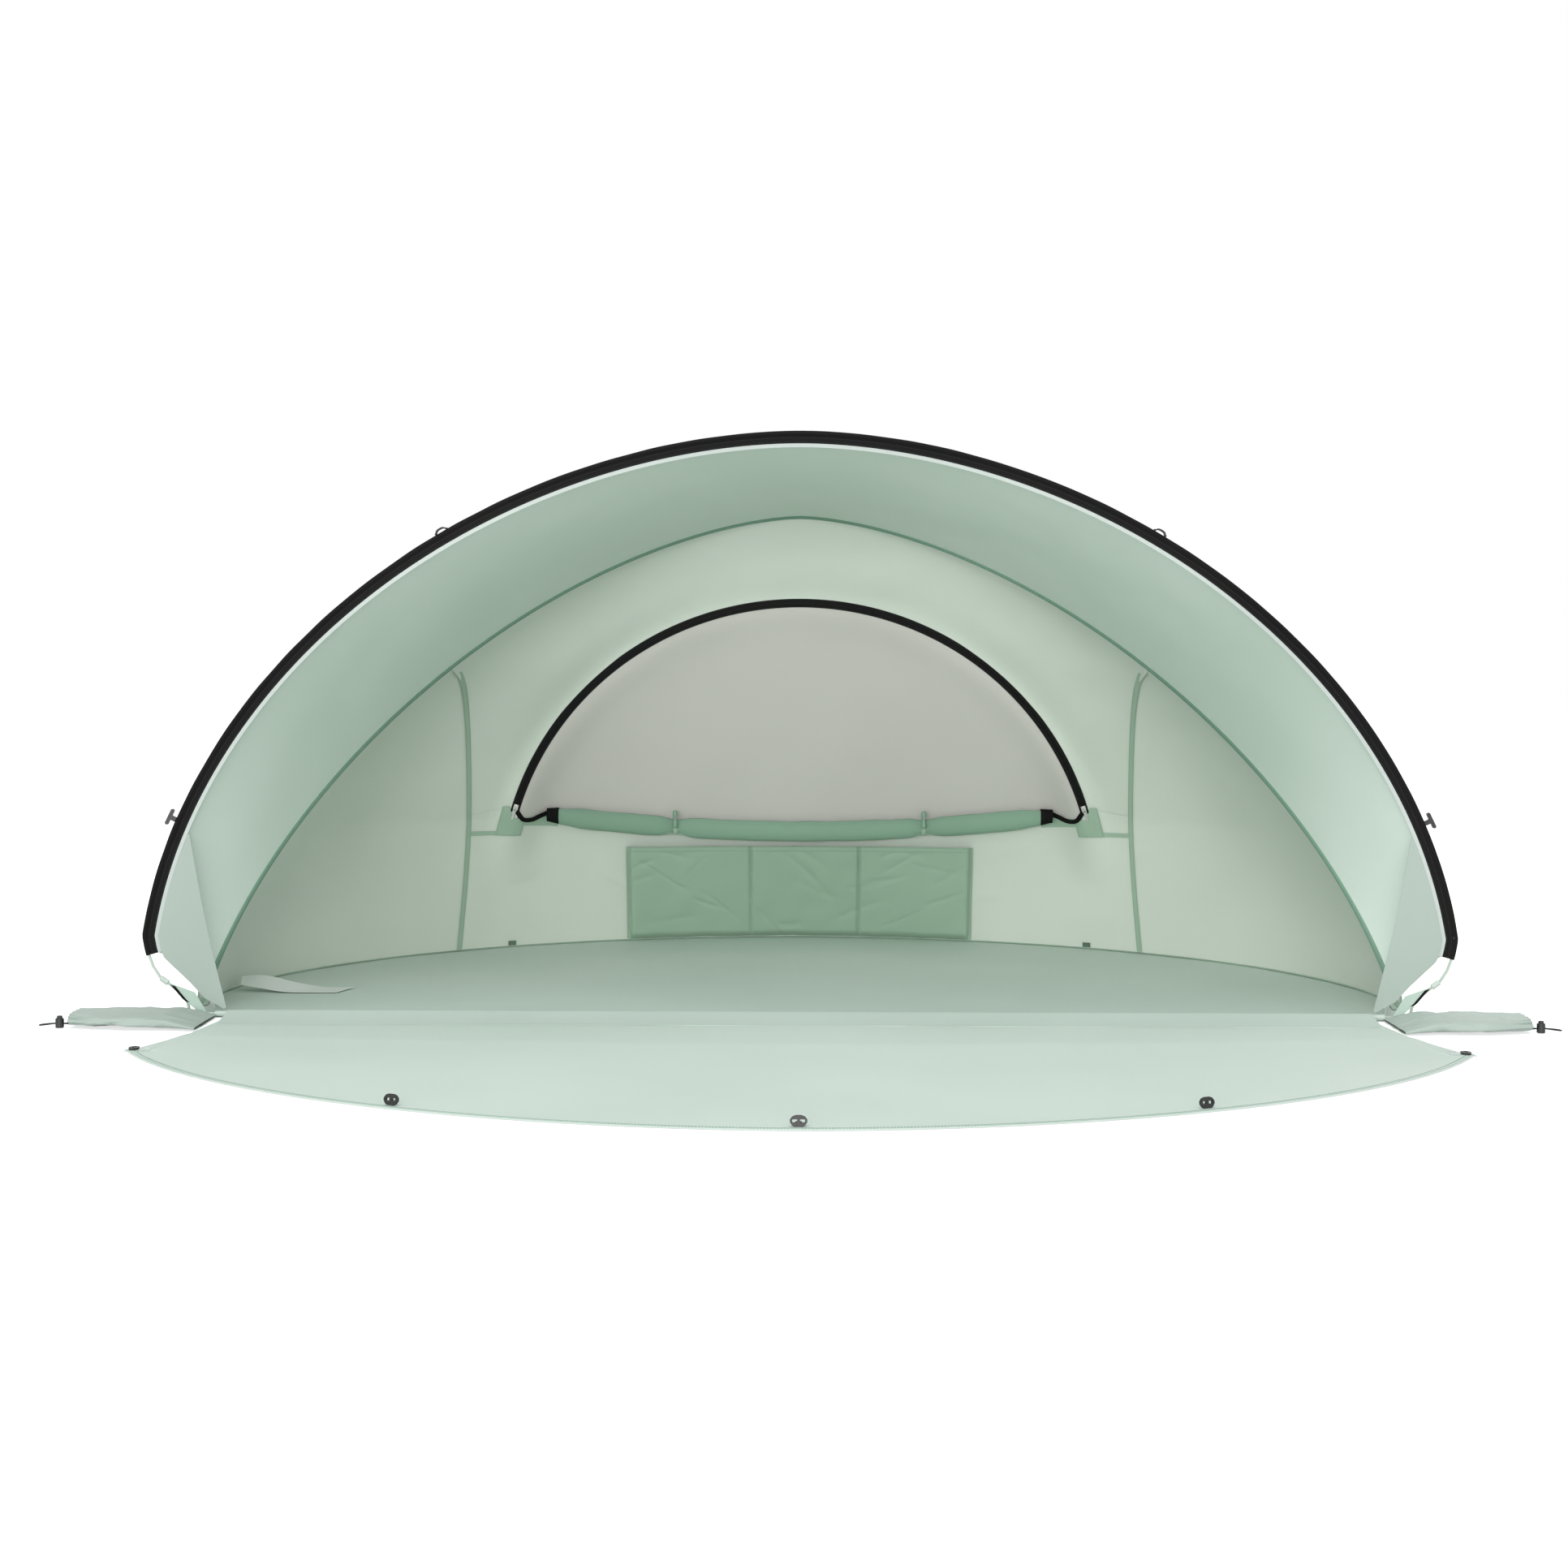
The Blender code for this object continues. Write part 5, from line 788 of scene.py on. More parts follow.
seams = dict(half=0.0042, lift=0.0022, outerLift=-0.0012, clear=0.0012, topGap=0.004, sill=0.2335,
             sillStart=0.598,
             curl=((0.5640, 0.290), (0.5600, 0.276), (0.5520, 0.2625), (0.5380, 0.2610), (0.5220, 0.2680),
                   (0.5060, 0.2750)), curlLift=0.0042, pegTabX=(0.572, 0.586), pegTabZ=(0.0045, 0.0135),
             pegTabLift=0.0030)
zipPatch = dict(side=(0.5480, 0.5960), low=0.2290, top=0.2640, rise=0.0240, bend=0.5640, bendLength=0.016,
                slant=0.30, lift=0.0030)
gusset = dict(start=0.556, below=0.004, rise=0.030, fall=0.020, length=0.12, lift=0.0011)
flapRoot = dict(side=(0.488, 0.562), low=0.2440, rise=0.0060, top=0.2655, lift=0.0019)


def patchX(out, up):
    return out + zipPatch["slant"] * (zipPatch["top"] - up)


wide = np.linspace(-1, 1, 5)[None]
tall = np.linspace(wall["footHeight"] + 0.0006, wall["seamTop"] - seams["topGap"], 90)[:, None]
for side, name in bothSides:
    inside = wallSection(tall)[0] - seams["clear"]
    x, z = side * np.minimum(seamX(tall) + wide * seams["half"], inside), tall + 0 * wide
    wallTape(name + "WallSeam", x, z, seams["lift"], darkMintCloth)
    wallTape(name + "SeamFold", x, z, seams["outerLift"], wallCloth)
    out = np.linspace(*zipPatch["side"], 18)[None]
    bend = np.clip((out - zipPatch["bend"]) / zipPatch["bendLength"], 0, 1)
    top = zipPatch["top"] + zipPatch["rise"] * bend ** 2
    up = zipPatch["low"] + (top - zipPatch["low"]) * np.linspace(0, 1, 16)[:, None]
    wallTape(name + "ZipPatch", side * patchX(out, up), up, zipPatch["lift"], darkMintCloth)
    x = np.linspace(seams["sillStart"], seamX(seams["sill"]) - 0.003, 20)[None]
    z = seams["sill"] + seams["half"] * np.linspace(-1, 1, 4)[:, None]
    wallTape(name + "SillSeam", side * x + 0 * z, z + 0 * x, seams["lift"], darkMintCloth)

    part = np.linspace(0, 1, 8)[:, None]
    x = np.linspace(gusset["start"], seamX(wall["sill"]) + 0.001, 24)[None]
    fall = gusset["fall"] * (x - gusset["start"]) / gusset["length"]
    z = wall["sill"] - gusset["below"] + part * (gusset["rise"] - fall)
    wallTape(name + "SillGusset", side * x + 0 * z, z, gusset["lift"], wallCloth)
    low, high = flapRoot["side"]
    x = np.linspace(low, high, 20)[None]
    foot = flapRoot["low"] + flapRoot["rise"] * (x - low) / (high - low)
    z = foot + part * (flapRoot["top"] - foot)
    wallTape(name + "FlapRoot", side * x + 0 * z, z, flapRoot["lift"], darkMintCloth)
    curl = through(seams["curl"], 8)
    ways = np.gradient(curl, axis=0)
    ways /= np.linalg.norm(ways, axis=1)[:, None]
    spread = wide.T * seams["half"]
    wallTape(name + "ZipCurl", side * (curl[:, 0] - spread * ways[:, 1]), curl[:, 1] + spread * ways[:, 0],
             seams["curlLift"], blackCloth)
    x = np.linspace(*seams["pegTabX"], 6)[None]
    z = np.linspace(*seams["pegTabZ"], 5)[:, None]
    wallTape(name + "PegTab", side * x + 0 * z, z + 0 * x, seams["pegTabLift"], darkWebbing)

# the net's lower edge, sewn to the wall behind the rolled cover
netEdge = dict(half=0.56, low=0.2350, rise=0.0360, curve=0.505, most=0.2575, above=0.0035, lift=0.0008,
               thickness=0.0004)
x = np.linspace(-netEdge["half"], netEdge["half"], 180)[None]
low = np.minimum(netEdge["low"] + netEdge["rise"] * (x / netEdge["curve"]) ** 2, netEdge["most"])
z = low + (wall["sill"] + netEdge["above"] - low) * np.linspace(0, 1, 8)[:, None]
wallTape("netEdge", x + 0 * z, z, netEdge["lift"], netting, netEdge["thickness"])

across = framesAlong(rearPath, rearNormal)
grid = np.array([rearPath + across * n + rearNormal * b for n, b in sleeves["binding"]])
clothPiece("rearSeamBinding", grid, sleeves["bindingThickness"], seamCloth, "rear_arch", None)
print("seam tapes ready")

# Wings that close the front beside the hoop's feet
wing = dict(top=0.30, footX=0.917, footHeight=0.0118, lowShares=((0.59, 0.536), (0.354, 0.23)), standoff=0.0030,
            thickness=0.0008, gap=0.0003, hollow=0.004, ripple=0.0004)
edge = inward(frontHalf(), hoops["hemReach"] + wing["gap"])
edge = edge[(edge[:, 1] < wing["top"]) & (edge[:, 1] > hoops["sleeveEnd"] - 0.004)]
spanX, spanZ = edge[-1] - (wing["footX"], wing["footHeight"])
lows = [(wing["footX"] + spanX * a, wing["footHeight"] + spanZ * b) for a, b in wing["lowShares"]]
outerEdge = evenly(np.concatenate([edge, lows, [(wing["footX"], wing["footHeight"])]]), 60)
innerEdge = evenly(np.array([edge[0], (wing["footX"], wing["footHeight"])]), 60)
innerEdge[:, 0] += wing["hollow"] * np.sin(pi * np.linspace(0, 1, 60))
across = np.linspace(0, 1, 22)[None, :, None]
flat = outerEdge[1:-1, None] * (1 - across) + innerEdge[1:-1, None] * across
back = wing["gap"] + wing["standoff"] * (wing["top"] - flat[:, :, 1]) / (wing["top"] - wing["footHeight"])
for side, name in bothSides:
    grid = np.dstack([side * flat[:, :, 0], -back - wing["thickness"] / 2, flat[:, :, 1]])
    folds = wing["ripple"] * np.sin(np.linspace(0, 9, 58))[:, None] * np.sin(pi * across[:, :, 0])
    clothPiece(name + "Wing", grid, wing["thickness"], wingCloth, "front_arch", "wing_" + name,
               wrinkle=folds)
print("wings ready")

# Storage pocket of three compartments
pocket = dict(half=0.35, dividers=(-0.100, 0.122), bottom=0.0045, top=0.198, depths=(0.012, 0.019),
              standoff=0.0024, thickness=0.0008, edge=0.011, rounding=0.014, divider=0.0035, dividerDepth=0.35,
              calmSides=0.05, calmFoot=0.03, ripple=(0.06, 0.0005, 41), creases=(34, 0.0021, 0.0035, 0.045, 42),
              bindingThickness=0.0006, bindingLift=0.0009, stitchLift=0.0015, dividerLift=0.0006,
              topRows=(0.0085, 0.0012), sideRows=(-0.0045, 0.0025))


def pocketDepth(x, z):
    fall = np.clip((pocket["half"] - np.abs(x)) / pocket["edge"], 0, 1)
    rise = np.clip((z - pocket["bottom"]) / pocket["rounding"], 0, 1)
    full = pocket["depths"][0] + (pocket["depths"][1] - pocket["depths"][0]) * z / pocket["top"]
    held = 1.0
    for spot in pocket["dividers"]:
        held = held * (1 - pocket["dividerDepth"] * np.exp(-((x - spot) / pocket["divider"]) ** 2))
    return full * np.sin(fall * pi / 2) * np.sin(rise * pi / 2) * held


def onPocket(x, z, lift=0.0):
    x, z = np.broadcast_arrays(np.asarray(x, float), np.asarray(z, float))
    return np.stack([x, wallDepth(x, z) - pocket["standoff"] - pocketDepth(x, z) - lift, z], axis=-1)


def pocketPiece(name, x, z, lift, thickness, node, wrinkle=None):
    clothPiece(name, onPocket(x, z, lift), thickness, darkMintCloth, "walls", node,
               wrinkle=wrinkle)


x = [np.linspace(-pocket["half"], pocket["half"], 211)]
x += [spot + np.linspace(-0.0072, 0.0072, 9) for spot in pocket["dividers"]]    # finer beside the dividers
x = np.sort(np.concatenate(x))[None]
z = np.linspace(pocket["bottom"], pocket["top"], 61)[:, None]
spots = onPocket(x, z)
folds = ripple(spots, *pocket["ripple"]) + creases(spots, *pocket["creases"])
folds *= np.sin(pi * np.clip((pocket["half"] - np.abs(x)) / pocket["calmSides"], 0, 0.5))
folds *= np.sin(pi * np.clip(z / pocket["calmFoot"], 0, 0.5))
pocketPiece("storagePocket", x, z, 0, pocket["thickness"], "storage_pocket", folds)
thickness, lift = pocket["bindingThickness"], pocket["bindingLift"]
band = np.linspace(pocket["top"] - 0.010, pocket["top"] + 0.0006, 5)[:, None]
pocketPiece("pocketTopBinding", x, band, lift, thickness, None)
tall = np.linspace(pocket["bottom"] + 0.001, pocket["top"], 60)[:, None]
for side, name in bothSides:
    strip = side * np.linspace(pocket["half"] - 0.006, pocket["half"] + 0.004, 6)[None]
    pocketPiece("pocket" + name.capitalize() + "Binding", strip, tall, lift, thickness, None)
print("storage pocket ready")

# Window cover, rolled down onto the sill and tied
roll = dict(half=0.505, halfHeight=0.0200, halfDepth=0.0118, lap=0.10, low=0.2312, rise=0.037, tieX=0.252,
            pinch=0.34, pinchLength=0.022, endSize=0.55, endLength=0.06, turns=6, core=0.20, thickness=0.0006,
            standoff=0.0012, ripple=(0.09, 0.0006, 51),
            gather=0.0011, gatherLength=0.035, zipLength=0.022, zipLift=0.0013, zipThickness=0.0009,
            tieWidth=0.008, tieLift=0.0010, tieLap=0.0009, tieThickness=0.0006)


def rollSize(x):
    pinch = 1 - roll["pinch"] * np.exp(-((abs(x) - roll["tieX"]) / roll["pinchLength"]) ** 2)
    return pinch * min(1.0, roll["endSize"] + (roll["half"] - abs(x)) / roll["endLength"] * (1 - roll["endSize"]))


def rollCentre(x):
    z = roll["low"] + roll["rise"] * (x / roll["half"]) ** 2
    shares = np.linspace(-1, 1, 9)
    grow = 1 + roll["lap"]
    behind = wallDepth(np.full(9, float(x)), z + shares * roll["halfHeight"] * grow)
    depth = (behind - roll["halfDepth"] * grow * np.sqrt(1 - shares ** 2)).min()
    return np.array([x, depth - roll["standoff"], z])


def rollRing(x, sizes, turns, extra=0.0):
    middle = rollCentre(x)
    size = rollSize(x)
    return np.stack([np.full(len(turns), float(x)),
                     middle[1] - (sizes * size * roll["halfDepth"] + extra) * np.cos(turns),
                     middle[2] + (sizes * size * roll["halfHeight"] + extra) * np.sin(turns)], axis=1)


around = np.linspace(0, 1, roll["turns"] * 20)
sizes = roll["core"] + (1 + roll["lap"] - roll["core"]) * around
turns = 2 * pi * roll["turns"] * around + pi / 3
spots = np.linspace(-roll["half"], roll["half"], 241)
grid = np.array([rollRing(x, sizes, turns) for x in spots])
near = np.exp(-((np.abs(spots) - roll["tieX"]) / roll["gatherLength"]) ** 2)[:, None]
folds = ripple(grid, *roll["ripple"], (1, 0.3, 0.3))
folds = folds + roll["gather"] * near * np.sin(9 * (turns % (2 * pi)))[None]
folds = folds * np.clip(around / 0.4, 0, 1)[None]
clothPiece("rolledFlap", grid, roll["thickness"], flapCloth, "walls", "rolled_flap",
           folds)
for side, name in bothSides:
    ends = side * np.linspace(roll["half"] - roll["zipLength"], roll["half"] + 0.0005, 14)
    wrap = np.linspace(-0.35 * pi, 1.15 * pi, 36)
    full = np.full(36, 1 + roll["lap"])
    inner = np.clip(ends, -roll["half"], roll["half"])
    grid = np.array([rollRing(x, full, wrap, roll["zipLift"]) for x in inner])
    grid[:, :, 0] = ends[:, None]
    clothPiece(name + "FlapZip", grid, roll["zipThickness"], blackCloth, "walls", None)
    spots = side * roll["tieX"] + np.linspace(-1, 1, 7) * roll["tieWidth"] / 2
    wrap = np.linspace(0, 2 * pi + 0.5, 60)
    full = np.full(60, 1 + roll["lap"])
    lift = roll["tieLift"] + roll["tieLap"] * np.linspace(0, 1, 60)
    grid = np.array([rollRing(x, full, wrap, lift) for x in spots])
    clothPiece(name + "FlapTie", grid, roll["tieThickness"], darkMintCloth, "walls", "flap_tie_" + name)
spindle = dict(length=0.036, radius=0.0050, above=0.014, standoff=0.0028,
               profile=((-0.5, 0.35), (-0.47, 0.75), (-0.40, 1.0), (-0.22, 0.92), (-0.06, 0.62), (0.06, 0.62),
                        (0.22, 0.92), (0.40, 1.0), (0.47, 0.75), (0.5, 0.35)))


def turnedPiece(name, profile, length, radius, middle, finish, sides=20):
    turns = [2 * pi * k / sides for k in range(sides)]
    verts = [(middle[0] + radius * fat * cos(a), middle[1] + radius * fat * sin(a), middle[2] + length * high)
             for high, fat in profile for a in turns]
    last = (len(profile) - 1) * sides
    faces = [(i + k, i + (k + 1) % sides, i + sides + (k + 1) % sides, i + sides + k)
             for i in range(0, last, sides) for k in range(sides)]
    faces += [tuple(range(sides))[::-1], tuple(range(last, last + sides))]
    mesh = bpy.data.meshes.new(name)
    mesh.from_pydata(verts, [], faces)
    mesh.shade_smooth()
    mesh.set_sharp_from_angle(angle=radians(50))
    mesh.materials.append(finish)
    return newObject(name, mesh)


for side, name in bothSides:
    low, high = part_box("flap_toggle_" + name)
    middle = rollCentre((low.x + high.x) / 2)
    depth = rollSize(roll["tieX"]) * roll["halfDepth"] * (1 + roll["lap"])
    middle[1] -= depth + spindle["radius"] + spindle["standoff"]
    middle[2] += roll["halfHeight"] + spindle["above"] - spindle["length"] / 2
    made = turnedPiece(name + "FlapToggle", spindle["profile"], spindle["length"], spindle["radius"], middle,
                       mintAcetal)
    carry(made, "walls")
    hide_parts("flap_toggle_" + name)
print("rolled cover ready")

# Sand pockets beside the porch, with their cords
bag = dict(inner=0.9335, mouth=1.137, middle=-0.0787, half=0.074, mouthHalf=0.050, height=0.024, endHeight=0.007,
           thickness=0.0008, base=0.0002, lap=0.0010, pleat=0.055, wave=0.02,
           outerCreases=(26, 0.0022, 0.005, 0.05), innerCreases=(16, 0.0020, 0.007, 0.06))
for side, name in bothSides:
    turns = np.linspace(-0.5 * pi, 1.5 * pi + 0.10, 121)
    rows = []
    for part in np.linspace(0, 1, 71):
        swell = sin(min(part / 0.35, 1) * pi / 2)
        height = bag["endHeight"] + (bag["height"] - bag["endHeight"]) * swell
        gather = max(0.0, (part - 0.6) / 0.4) ** 1.5
        half = bag["half"] + (bag["mouthHalf"] - bag["half"]) * gather
        pleat = 1 - bag["pleat"] * gather * (1 + np.sin(15 * turns + 0.7))
        pleat = pleat - bag["wave"] * swell * (1 + np.sin(6 * turns + 4 * part))
        lap = bag["lap"] * np.linspace(-1, 0, 121)
        y = (half - bag["thickness"] / 2 + lap) * np.cos(turns) * pleat
        rise = np.sign(np.sin(turns)) * np.abs(np.sin(turns)) ** 0.6
        z = ((height - bag["thickness"]) / 2 + lap) * rise * pleat
        x = bag["inner"] + (bag["mouth"] - bag["inner"]) * part
        rows.append(np.stack([np.full(121, side * x), bag["middle"] + y, bag["base"] + height / 2 + z], axis=1))
    grid = np.array(rows)
    ends = np.sin(pi * np.clip(np.linspace(0, 1, 71), 0.02, 0.98))[:, None] ** 0.5
    folds = creases(grid, *bag["outerCreases"], 61 + side) - creases(grid, *bag["innerCreases"], 66 + side)
    clothPiece(name + "SandPocket", grid, bag["thickness"], bagCloth, "shell", "sand_pocket_" + name,
               side * np.abs(folds * ends))

# the loop is given in lock radii beyond the lock, half spacings aside and shares of the height
cordShape = dict(radius=0.0011, height=0.0068, spacing=0.0027, lockX=1.1515, lockY=-0.117, lockRadius=0.0066,
                 start=1.1373, spread=2.6, loop=((0, 1, 1), (2, 3.5, 0.8), (3.3, 3.5, 0.65)), tip=(3.8, 0, 0.6))
for side, name in bothSides:
    half, high, lockR = cordShape["spacing"] / 2, cordShape["height"], cordShape["lockRadius"]
    lockX = cordShape["lockX"]
    way = [(cordShape["start"], cordShape["spread"] * half, high), (lockX - lockR, half, high)]
    way += [(lockX, half, high)]
    for out, aside, up in (*cordShape["loop"], cordShape["tip"]):
        way.append((lockX + lockR + out * lockR, aside * half, up * high))
    route = evenly(through(way + [(x, -y, z) for x, y, z in way[-2::-1]], 12), 60)
    points = np.column_stack([side * route[:, 0], cordShape["lockY"] + route[:, 1], route[:, 2]])
    curve = bpy.data.curves.new(name + "DrawCord", "CURVE")
    curve.dimensions = "3D"
    curve.bevel_depth = cordShape["radius"]
    curve.bevel_resolution = 4
    curve.use_fill_caps = True
    spline = curve.splines.new("POLY")
    spline.points.add(len(points) - 1)
    for spot, point in zip(spline.points, points):
        spot.co = (*point, 1)
    curve.materials.append(blackCord)
    made = newObject(name + "DrawCord", curve)
    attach(made, "shell")
    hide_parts("sand_pocket_cord_" + name)
print("sand pockets ready")


# Webbing, guides and loops on the hoops
tab = dict(corners=((-0.0285, 0.0092), (-0.016, 0.0092), (0.010, 0.030), (0.0315, 0.0555), (-0.009, 0.041)),
           depth=-0.0036, thickness=0.0014, stripWidth=0.20, stripLift=0.0012, stripThickness=0.0008)
a, b, c, d, e = [np.array(p) for p in tab["corners"]]
bottom, top = evenly(np.array([a, b]), 12), evenly(np.array([e, d]), 12)
left, right = evenly(np.array([a, e]), 24), evenly(np.array([b, c, d]), 24)
patch = coons(bottom, top, left, right)
for side, name in bothSides:
    depth = np.full(patch.shape[:2], tab["depth"])
    flat = np.dstack([side * (hoops["footX"] + patch[:, :, 0]), depth, patch[:, :, 1]])
    clothPiece(name + "CrossingTab", flat, tab["thickness"], mintWebbing, "shell", "crossing_tab_" + name)
    strip, step = right[9:23], np.linspace(0, 1, 4)[None, :, None]
    inner = left[9:23] * tab["stripWidth"] + strip * (1 - tab["stripWidth"])
    grid = strip[:, None] * (1 - step) + inner[:, None] * step
    depth = np.full(grid.shape[:2], tab["depth"] - tab["stripLift"])
    grid = np.dstack([side * (hoops["footX"] + grid[:, :, 0]), depth, grid[:, :, 1]])
    clothPiece(name + "TabStrip", grid, tab["stripThickness"], blackCloth, "shell", None)

guide = dict(gap=0.0025, radius=0.0040, wave=0.00012, lap=0.0004, thickness=0.0006)
foot = frontHalf()
for side, name in bothSides:
    low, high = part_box("rod_guide_" + name)
    run = foot[(foot[:, 1] > low.z + guide["gap"]) & (foot[:, 1] < high.z - guide["gap"])]
    path = upright(evenly(run * [side, 1], 40))
    ways = framesAlong(path, (0, 1, 0))
    swell = guide["radius"] + guide["wave"] * np.sin(np.linspace(0, 25, 40))
    rows = []
    for k, turn in enumerate(np.linspace(0, 2 * pi + 0.25, 33)):
        fat = (swell + guide["lap"] * k / 32)[:, None]
        rows.append(path + ways * fat * cos(turn) + np.array([0, 1.0, 0]) * fat * sin(turn))
    clothPiece(name + "RodGuide", np.array(rows), guide["thickness"], mintCloth, "front_arch",
               "rod_guide_" + name)

loop = dict(height=0.7735, width=0.010, thickness=0.0022, off=0.0043,
            profile=((-0.011, 0.0), (-0.0085, 0.0012), (-0.0055, 0.0041), (0, 0.0049), (0.0055, 0.0041),
                     (0.0085, 0.0012), (0.011, 0.0)))
k = int(np.argmin(np.abs(frontCrown[:, 1] - loop["height"])))
along = frontCrown[k] - frontCrown[k - 1]
along /= np.linalg.norm(along)
out = np.array([-along[1], along[0]])
out = out if out[0] > 0 else -out
profile = through(loop["profile"], 8)
path = frontCrown[k] + out * loop["off"] + profile[:, :1] * along + profile[:, 1:] * out
for side, name in bothSides:
    grid = np.array([np.stack([side * path[:, 0], np.full(len(path), y), path[:, 1]], axis=1)
                     for y in np.linspace(-1, 1, 5) * loop["width"] / 2])
    clothPiece(name + "ArchLoop", grid, loop["thickness"], blackWebbing, "front_arch", "arch_loop_" + name)

peg = dict(x=0.57, strip=0.005, thickness=0.0014, height=0.0009,
           profile=((-0.0075, -0.0155), (-0.0075, 0.0), (-0.0072, 0.0095), (0.0, 0.0135), (0.0072, 0.0095),
                    (0.0075, 0.0), (0.0075, -0.0155)))
k = int(np.argmin(np.abs(floorEdge[:, 0] - peg["x"]) + (floorEdge[:, 1] < 0.5)))
along = floorEdge[k + 1] - floorEdge[k - 1]
along /= np.linalg.norm(along)
out = np.array([along[1], -along[0]])
out = out if out[1] > 0 else -out
shape = through(peg["profile"], 10)
for side, name in bothSides:
    low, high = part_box("peg_loop_" + name)
    middle = np.array([abs(low.x + high.x) / 2, (low.y + high.y) / 2])
    path = middle + shape[:, :1] * along + shape[:, 1:] * out
    path = np.column_stack([side * path[:, 0], path[:, 1], np.full(len(path), peg["height"])])
    grid = stripGrid(path, (0, 0, 1), -peg["strip"] / 2, peg["strip"] / 2, 0)
    clothPiece(name + "PegLoop", grid, peg["thickness"], blackWebbing, "shell", "peg_loop_" + name)

cover = dict(around=64, over=12, ribs=0.05)
for side, name in bothSides:
    low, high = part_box("corner_elastic_" + name)
    around, over = cover["around"], cover["over"]
    middle = (low + high) / 2
    thick = (high.z - low.z) / 2
    radius = (high.x - low.x) / 2 - thick
    mesh = bpy.data.meshes.new(name + "CornerElastic")
    verts, faces = [], []
    for i in range(around):
        a, following = 2 * pi * i / around, (i + 1) % around
        for j in range(over):
            b, beside = 2 * pi * j / over, (j + 1) % over
            fat = thick * (1 + cover["ribs"] * sin(9 * a + 2 * b))
            out = radius + fat * cos(b)
            verts.append((middle.x + out * cos(a), middle.y + out * sin(a), middle.z + fat * sin(b)))
            faces.append((i * over + j, following * over + j, following * over + beside, i * over + beside))
    mesh.from_pydata(verts, [], faces)
    mesh.shade_smooth()
    mesh.materials.append(elastic)
    made = newObject(name + "CornerElastic", mesh)
    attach(made, "porch")
    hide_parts("corner_elastic_" + name)

strap = dict(width=0.008, length=0.026, thickness=0.0011, off=0.0012, height=0.0021, rise=0.0045)
for name in ("middle", "right", "left"):
    low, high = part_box("porch_hook_" + name)
    path = np.array([((low.x + high.x) / 2, high.y + strap["off"] + strap["length"] * t,
                      strap["height"] + strap["rise"] * (1 - t) ** 6) for t in np.linspace(0, 1, 20)])
    grid = np.array([path + [aside, 0, 0] for aside in np.linspace(-1, 1, 5) * strap["width"] / 2])
    finish, slot = (blackWebbing, "black_cloth") if name == "middle" else (mintWebbing, "mint")
    clothPiece(name + "HookStrap", grid, strap["thickness"], finish, "porch", None)

tag = dict(back=((-0.970, 0.330, 0.024), (-0.930, 0.336, 0.025), (-0.880, 0.334, 0.014), (-0.830, 0.338, 0.005),
                 (-0.778, 0.346, 0.0035)),
           front=((-0.966, 0.302, 0.013), (-0.928, 0.294, 0.008), (-0.888, 0.284, 0.0035),
                  (-0.842, 0.282, 0.0030), (-0.796, 0.284, 0.0030)), thickness=0.0006)
back, front = evenly(through(tag["back"], 10), 40), evenly(through(tag["front"], 10), 40)
wide = np.linspace(0, 1, 12)[:, None, None]
grid = back[None] * (1 - wide) + front[None] * wide
clothPiece("clothTag", grid, tag["thickness"], whiteSatin, "shell", "cloth_tag")
print("webbing and loops ready")

# Stitches
# lengths and places of the rows, in metres
stitch = dict(pitch=0.0042, length=0.0031, radius=0.00028, seamApart=0.0030, seamLift=0.0029, patchLift=0.0037,
              hemHalf=0.93, hemRows=(0.0105, 0.0145), hemHeight=0.0023, edgeStart=0.13,
              edgeInsets=(0.0135, 0.0100),
              edgeHeight=0.0021, porchInsets=(0.0030, 0.0090), porchHeight=0.0023, rearSeam=(0.0150, 0.0044),
              frontRows=(0.0072, 0.0145), frontLift=-0.0010, zipApart=0.0068, zipLift=0.0010)


def stitchRows(name, paths, finish, body):
    carry(runAlong(name, paths, stitch["pitch"], stitch["length"], stitch["radius"], finish), body)


rows = []
z = np.linspace(0.01, wall["seamTop"] - 0.030, 200)
for side in (-1, 1):
    rows += [offWall(side * (seamX(z) + d * stitch["seamApart"]), z, stitch["seamLift"]) for d in (-1, 1)]
    for out, up in ((0.5500, np.linspace(0.231, 0.262, 20)), (0.5940, np.linspace(0.231, 0.285, 30)),
                    (np.linspace(0.550, 0.594, 20), np.full(20, 0.231))):
        rows.append(offWall(side * patchX(out, up), up, stitch["patchLift"]))
stitchRows("wallStitches", rows, thread, "walls")

x = np.linspace(-pocket["half"] + 0.004, pocket["half"] - 0.004, 400)
z = np.linspace(pocket["bottom"] + 0.004, pocket["top"] - 0.012, 120)
rows = [onPocket(x, np.full(400, pocket["top"] - below), pocket["stitchLift"]) for below in pocket["topRows"]]
rows += [onPocket(np.full(120, spot), z, pocket["dividerLift"]) for spot in pocket["dividers"]]
for side in (-1, 1):
    for out in pocket["sideRows"]:
        rows.append(onPocket(np.full(120, side * (pocket["half"] + out)), z, pocket["stitchLift"]))
stitchRows("pocketStitches", rows, seamThread, "walls")

x = np.linspace(-stitch["hemHalf"], stitch["hemHalf"], 600)
rows = [np.column_stack([x, np.full(600, y), np.full(600, stitch["hemHeight"])]) for y in stitch["hemRows"]]
stitchRows("hemStitches", rows, thread, "shell")
rows = []
for inset in stitch["edgeInsets"]:
    edge = evenly(mirrored(inward(floorEdge[floorEdge[:, 1] > stitch["edgeStart"]], inset)), 700)
    rows.append(np.column_stack([edge, np.full(700, stitch["edgeHeight"])]))
stitchRows("floorEdgeStitches", rows, thread, "shell")
rows = []
for inset in stitch["porchInsets"]:
    edge = evenly(mirrored(inward(porchCurve(), inset)), 800) * [1, -1]
    rows.append(np.column_stack([edge, np.full(800, stitch["porchHeight"])]))
stitchRows("porchStitches", rows, thread, "porch")

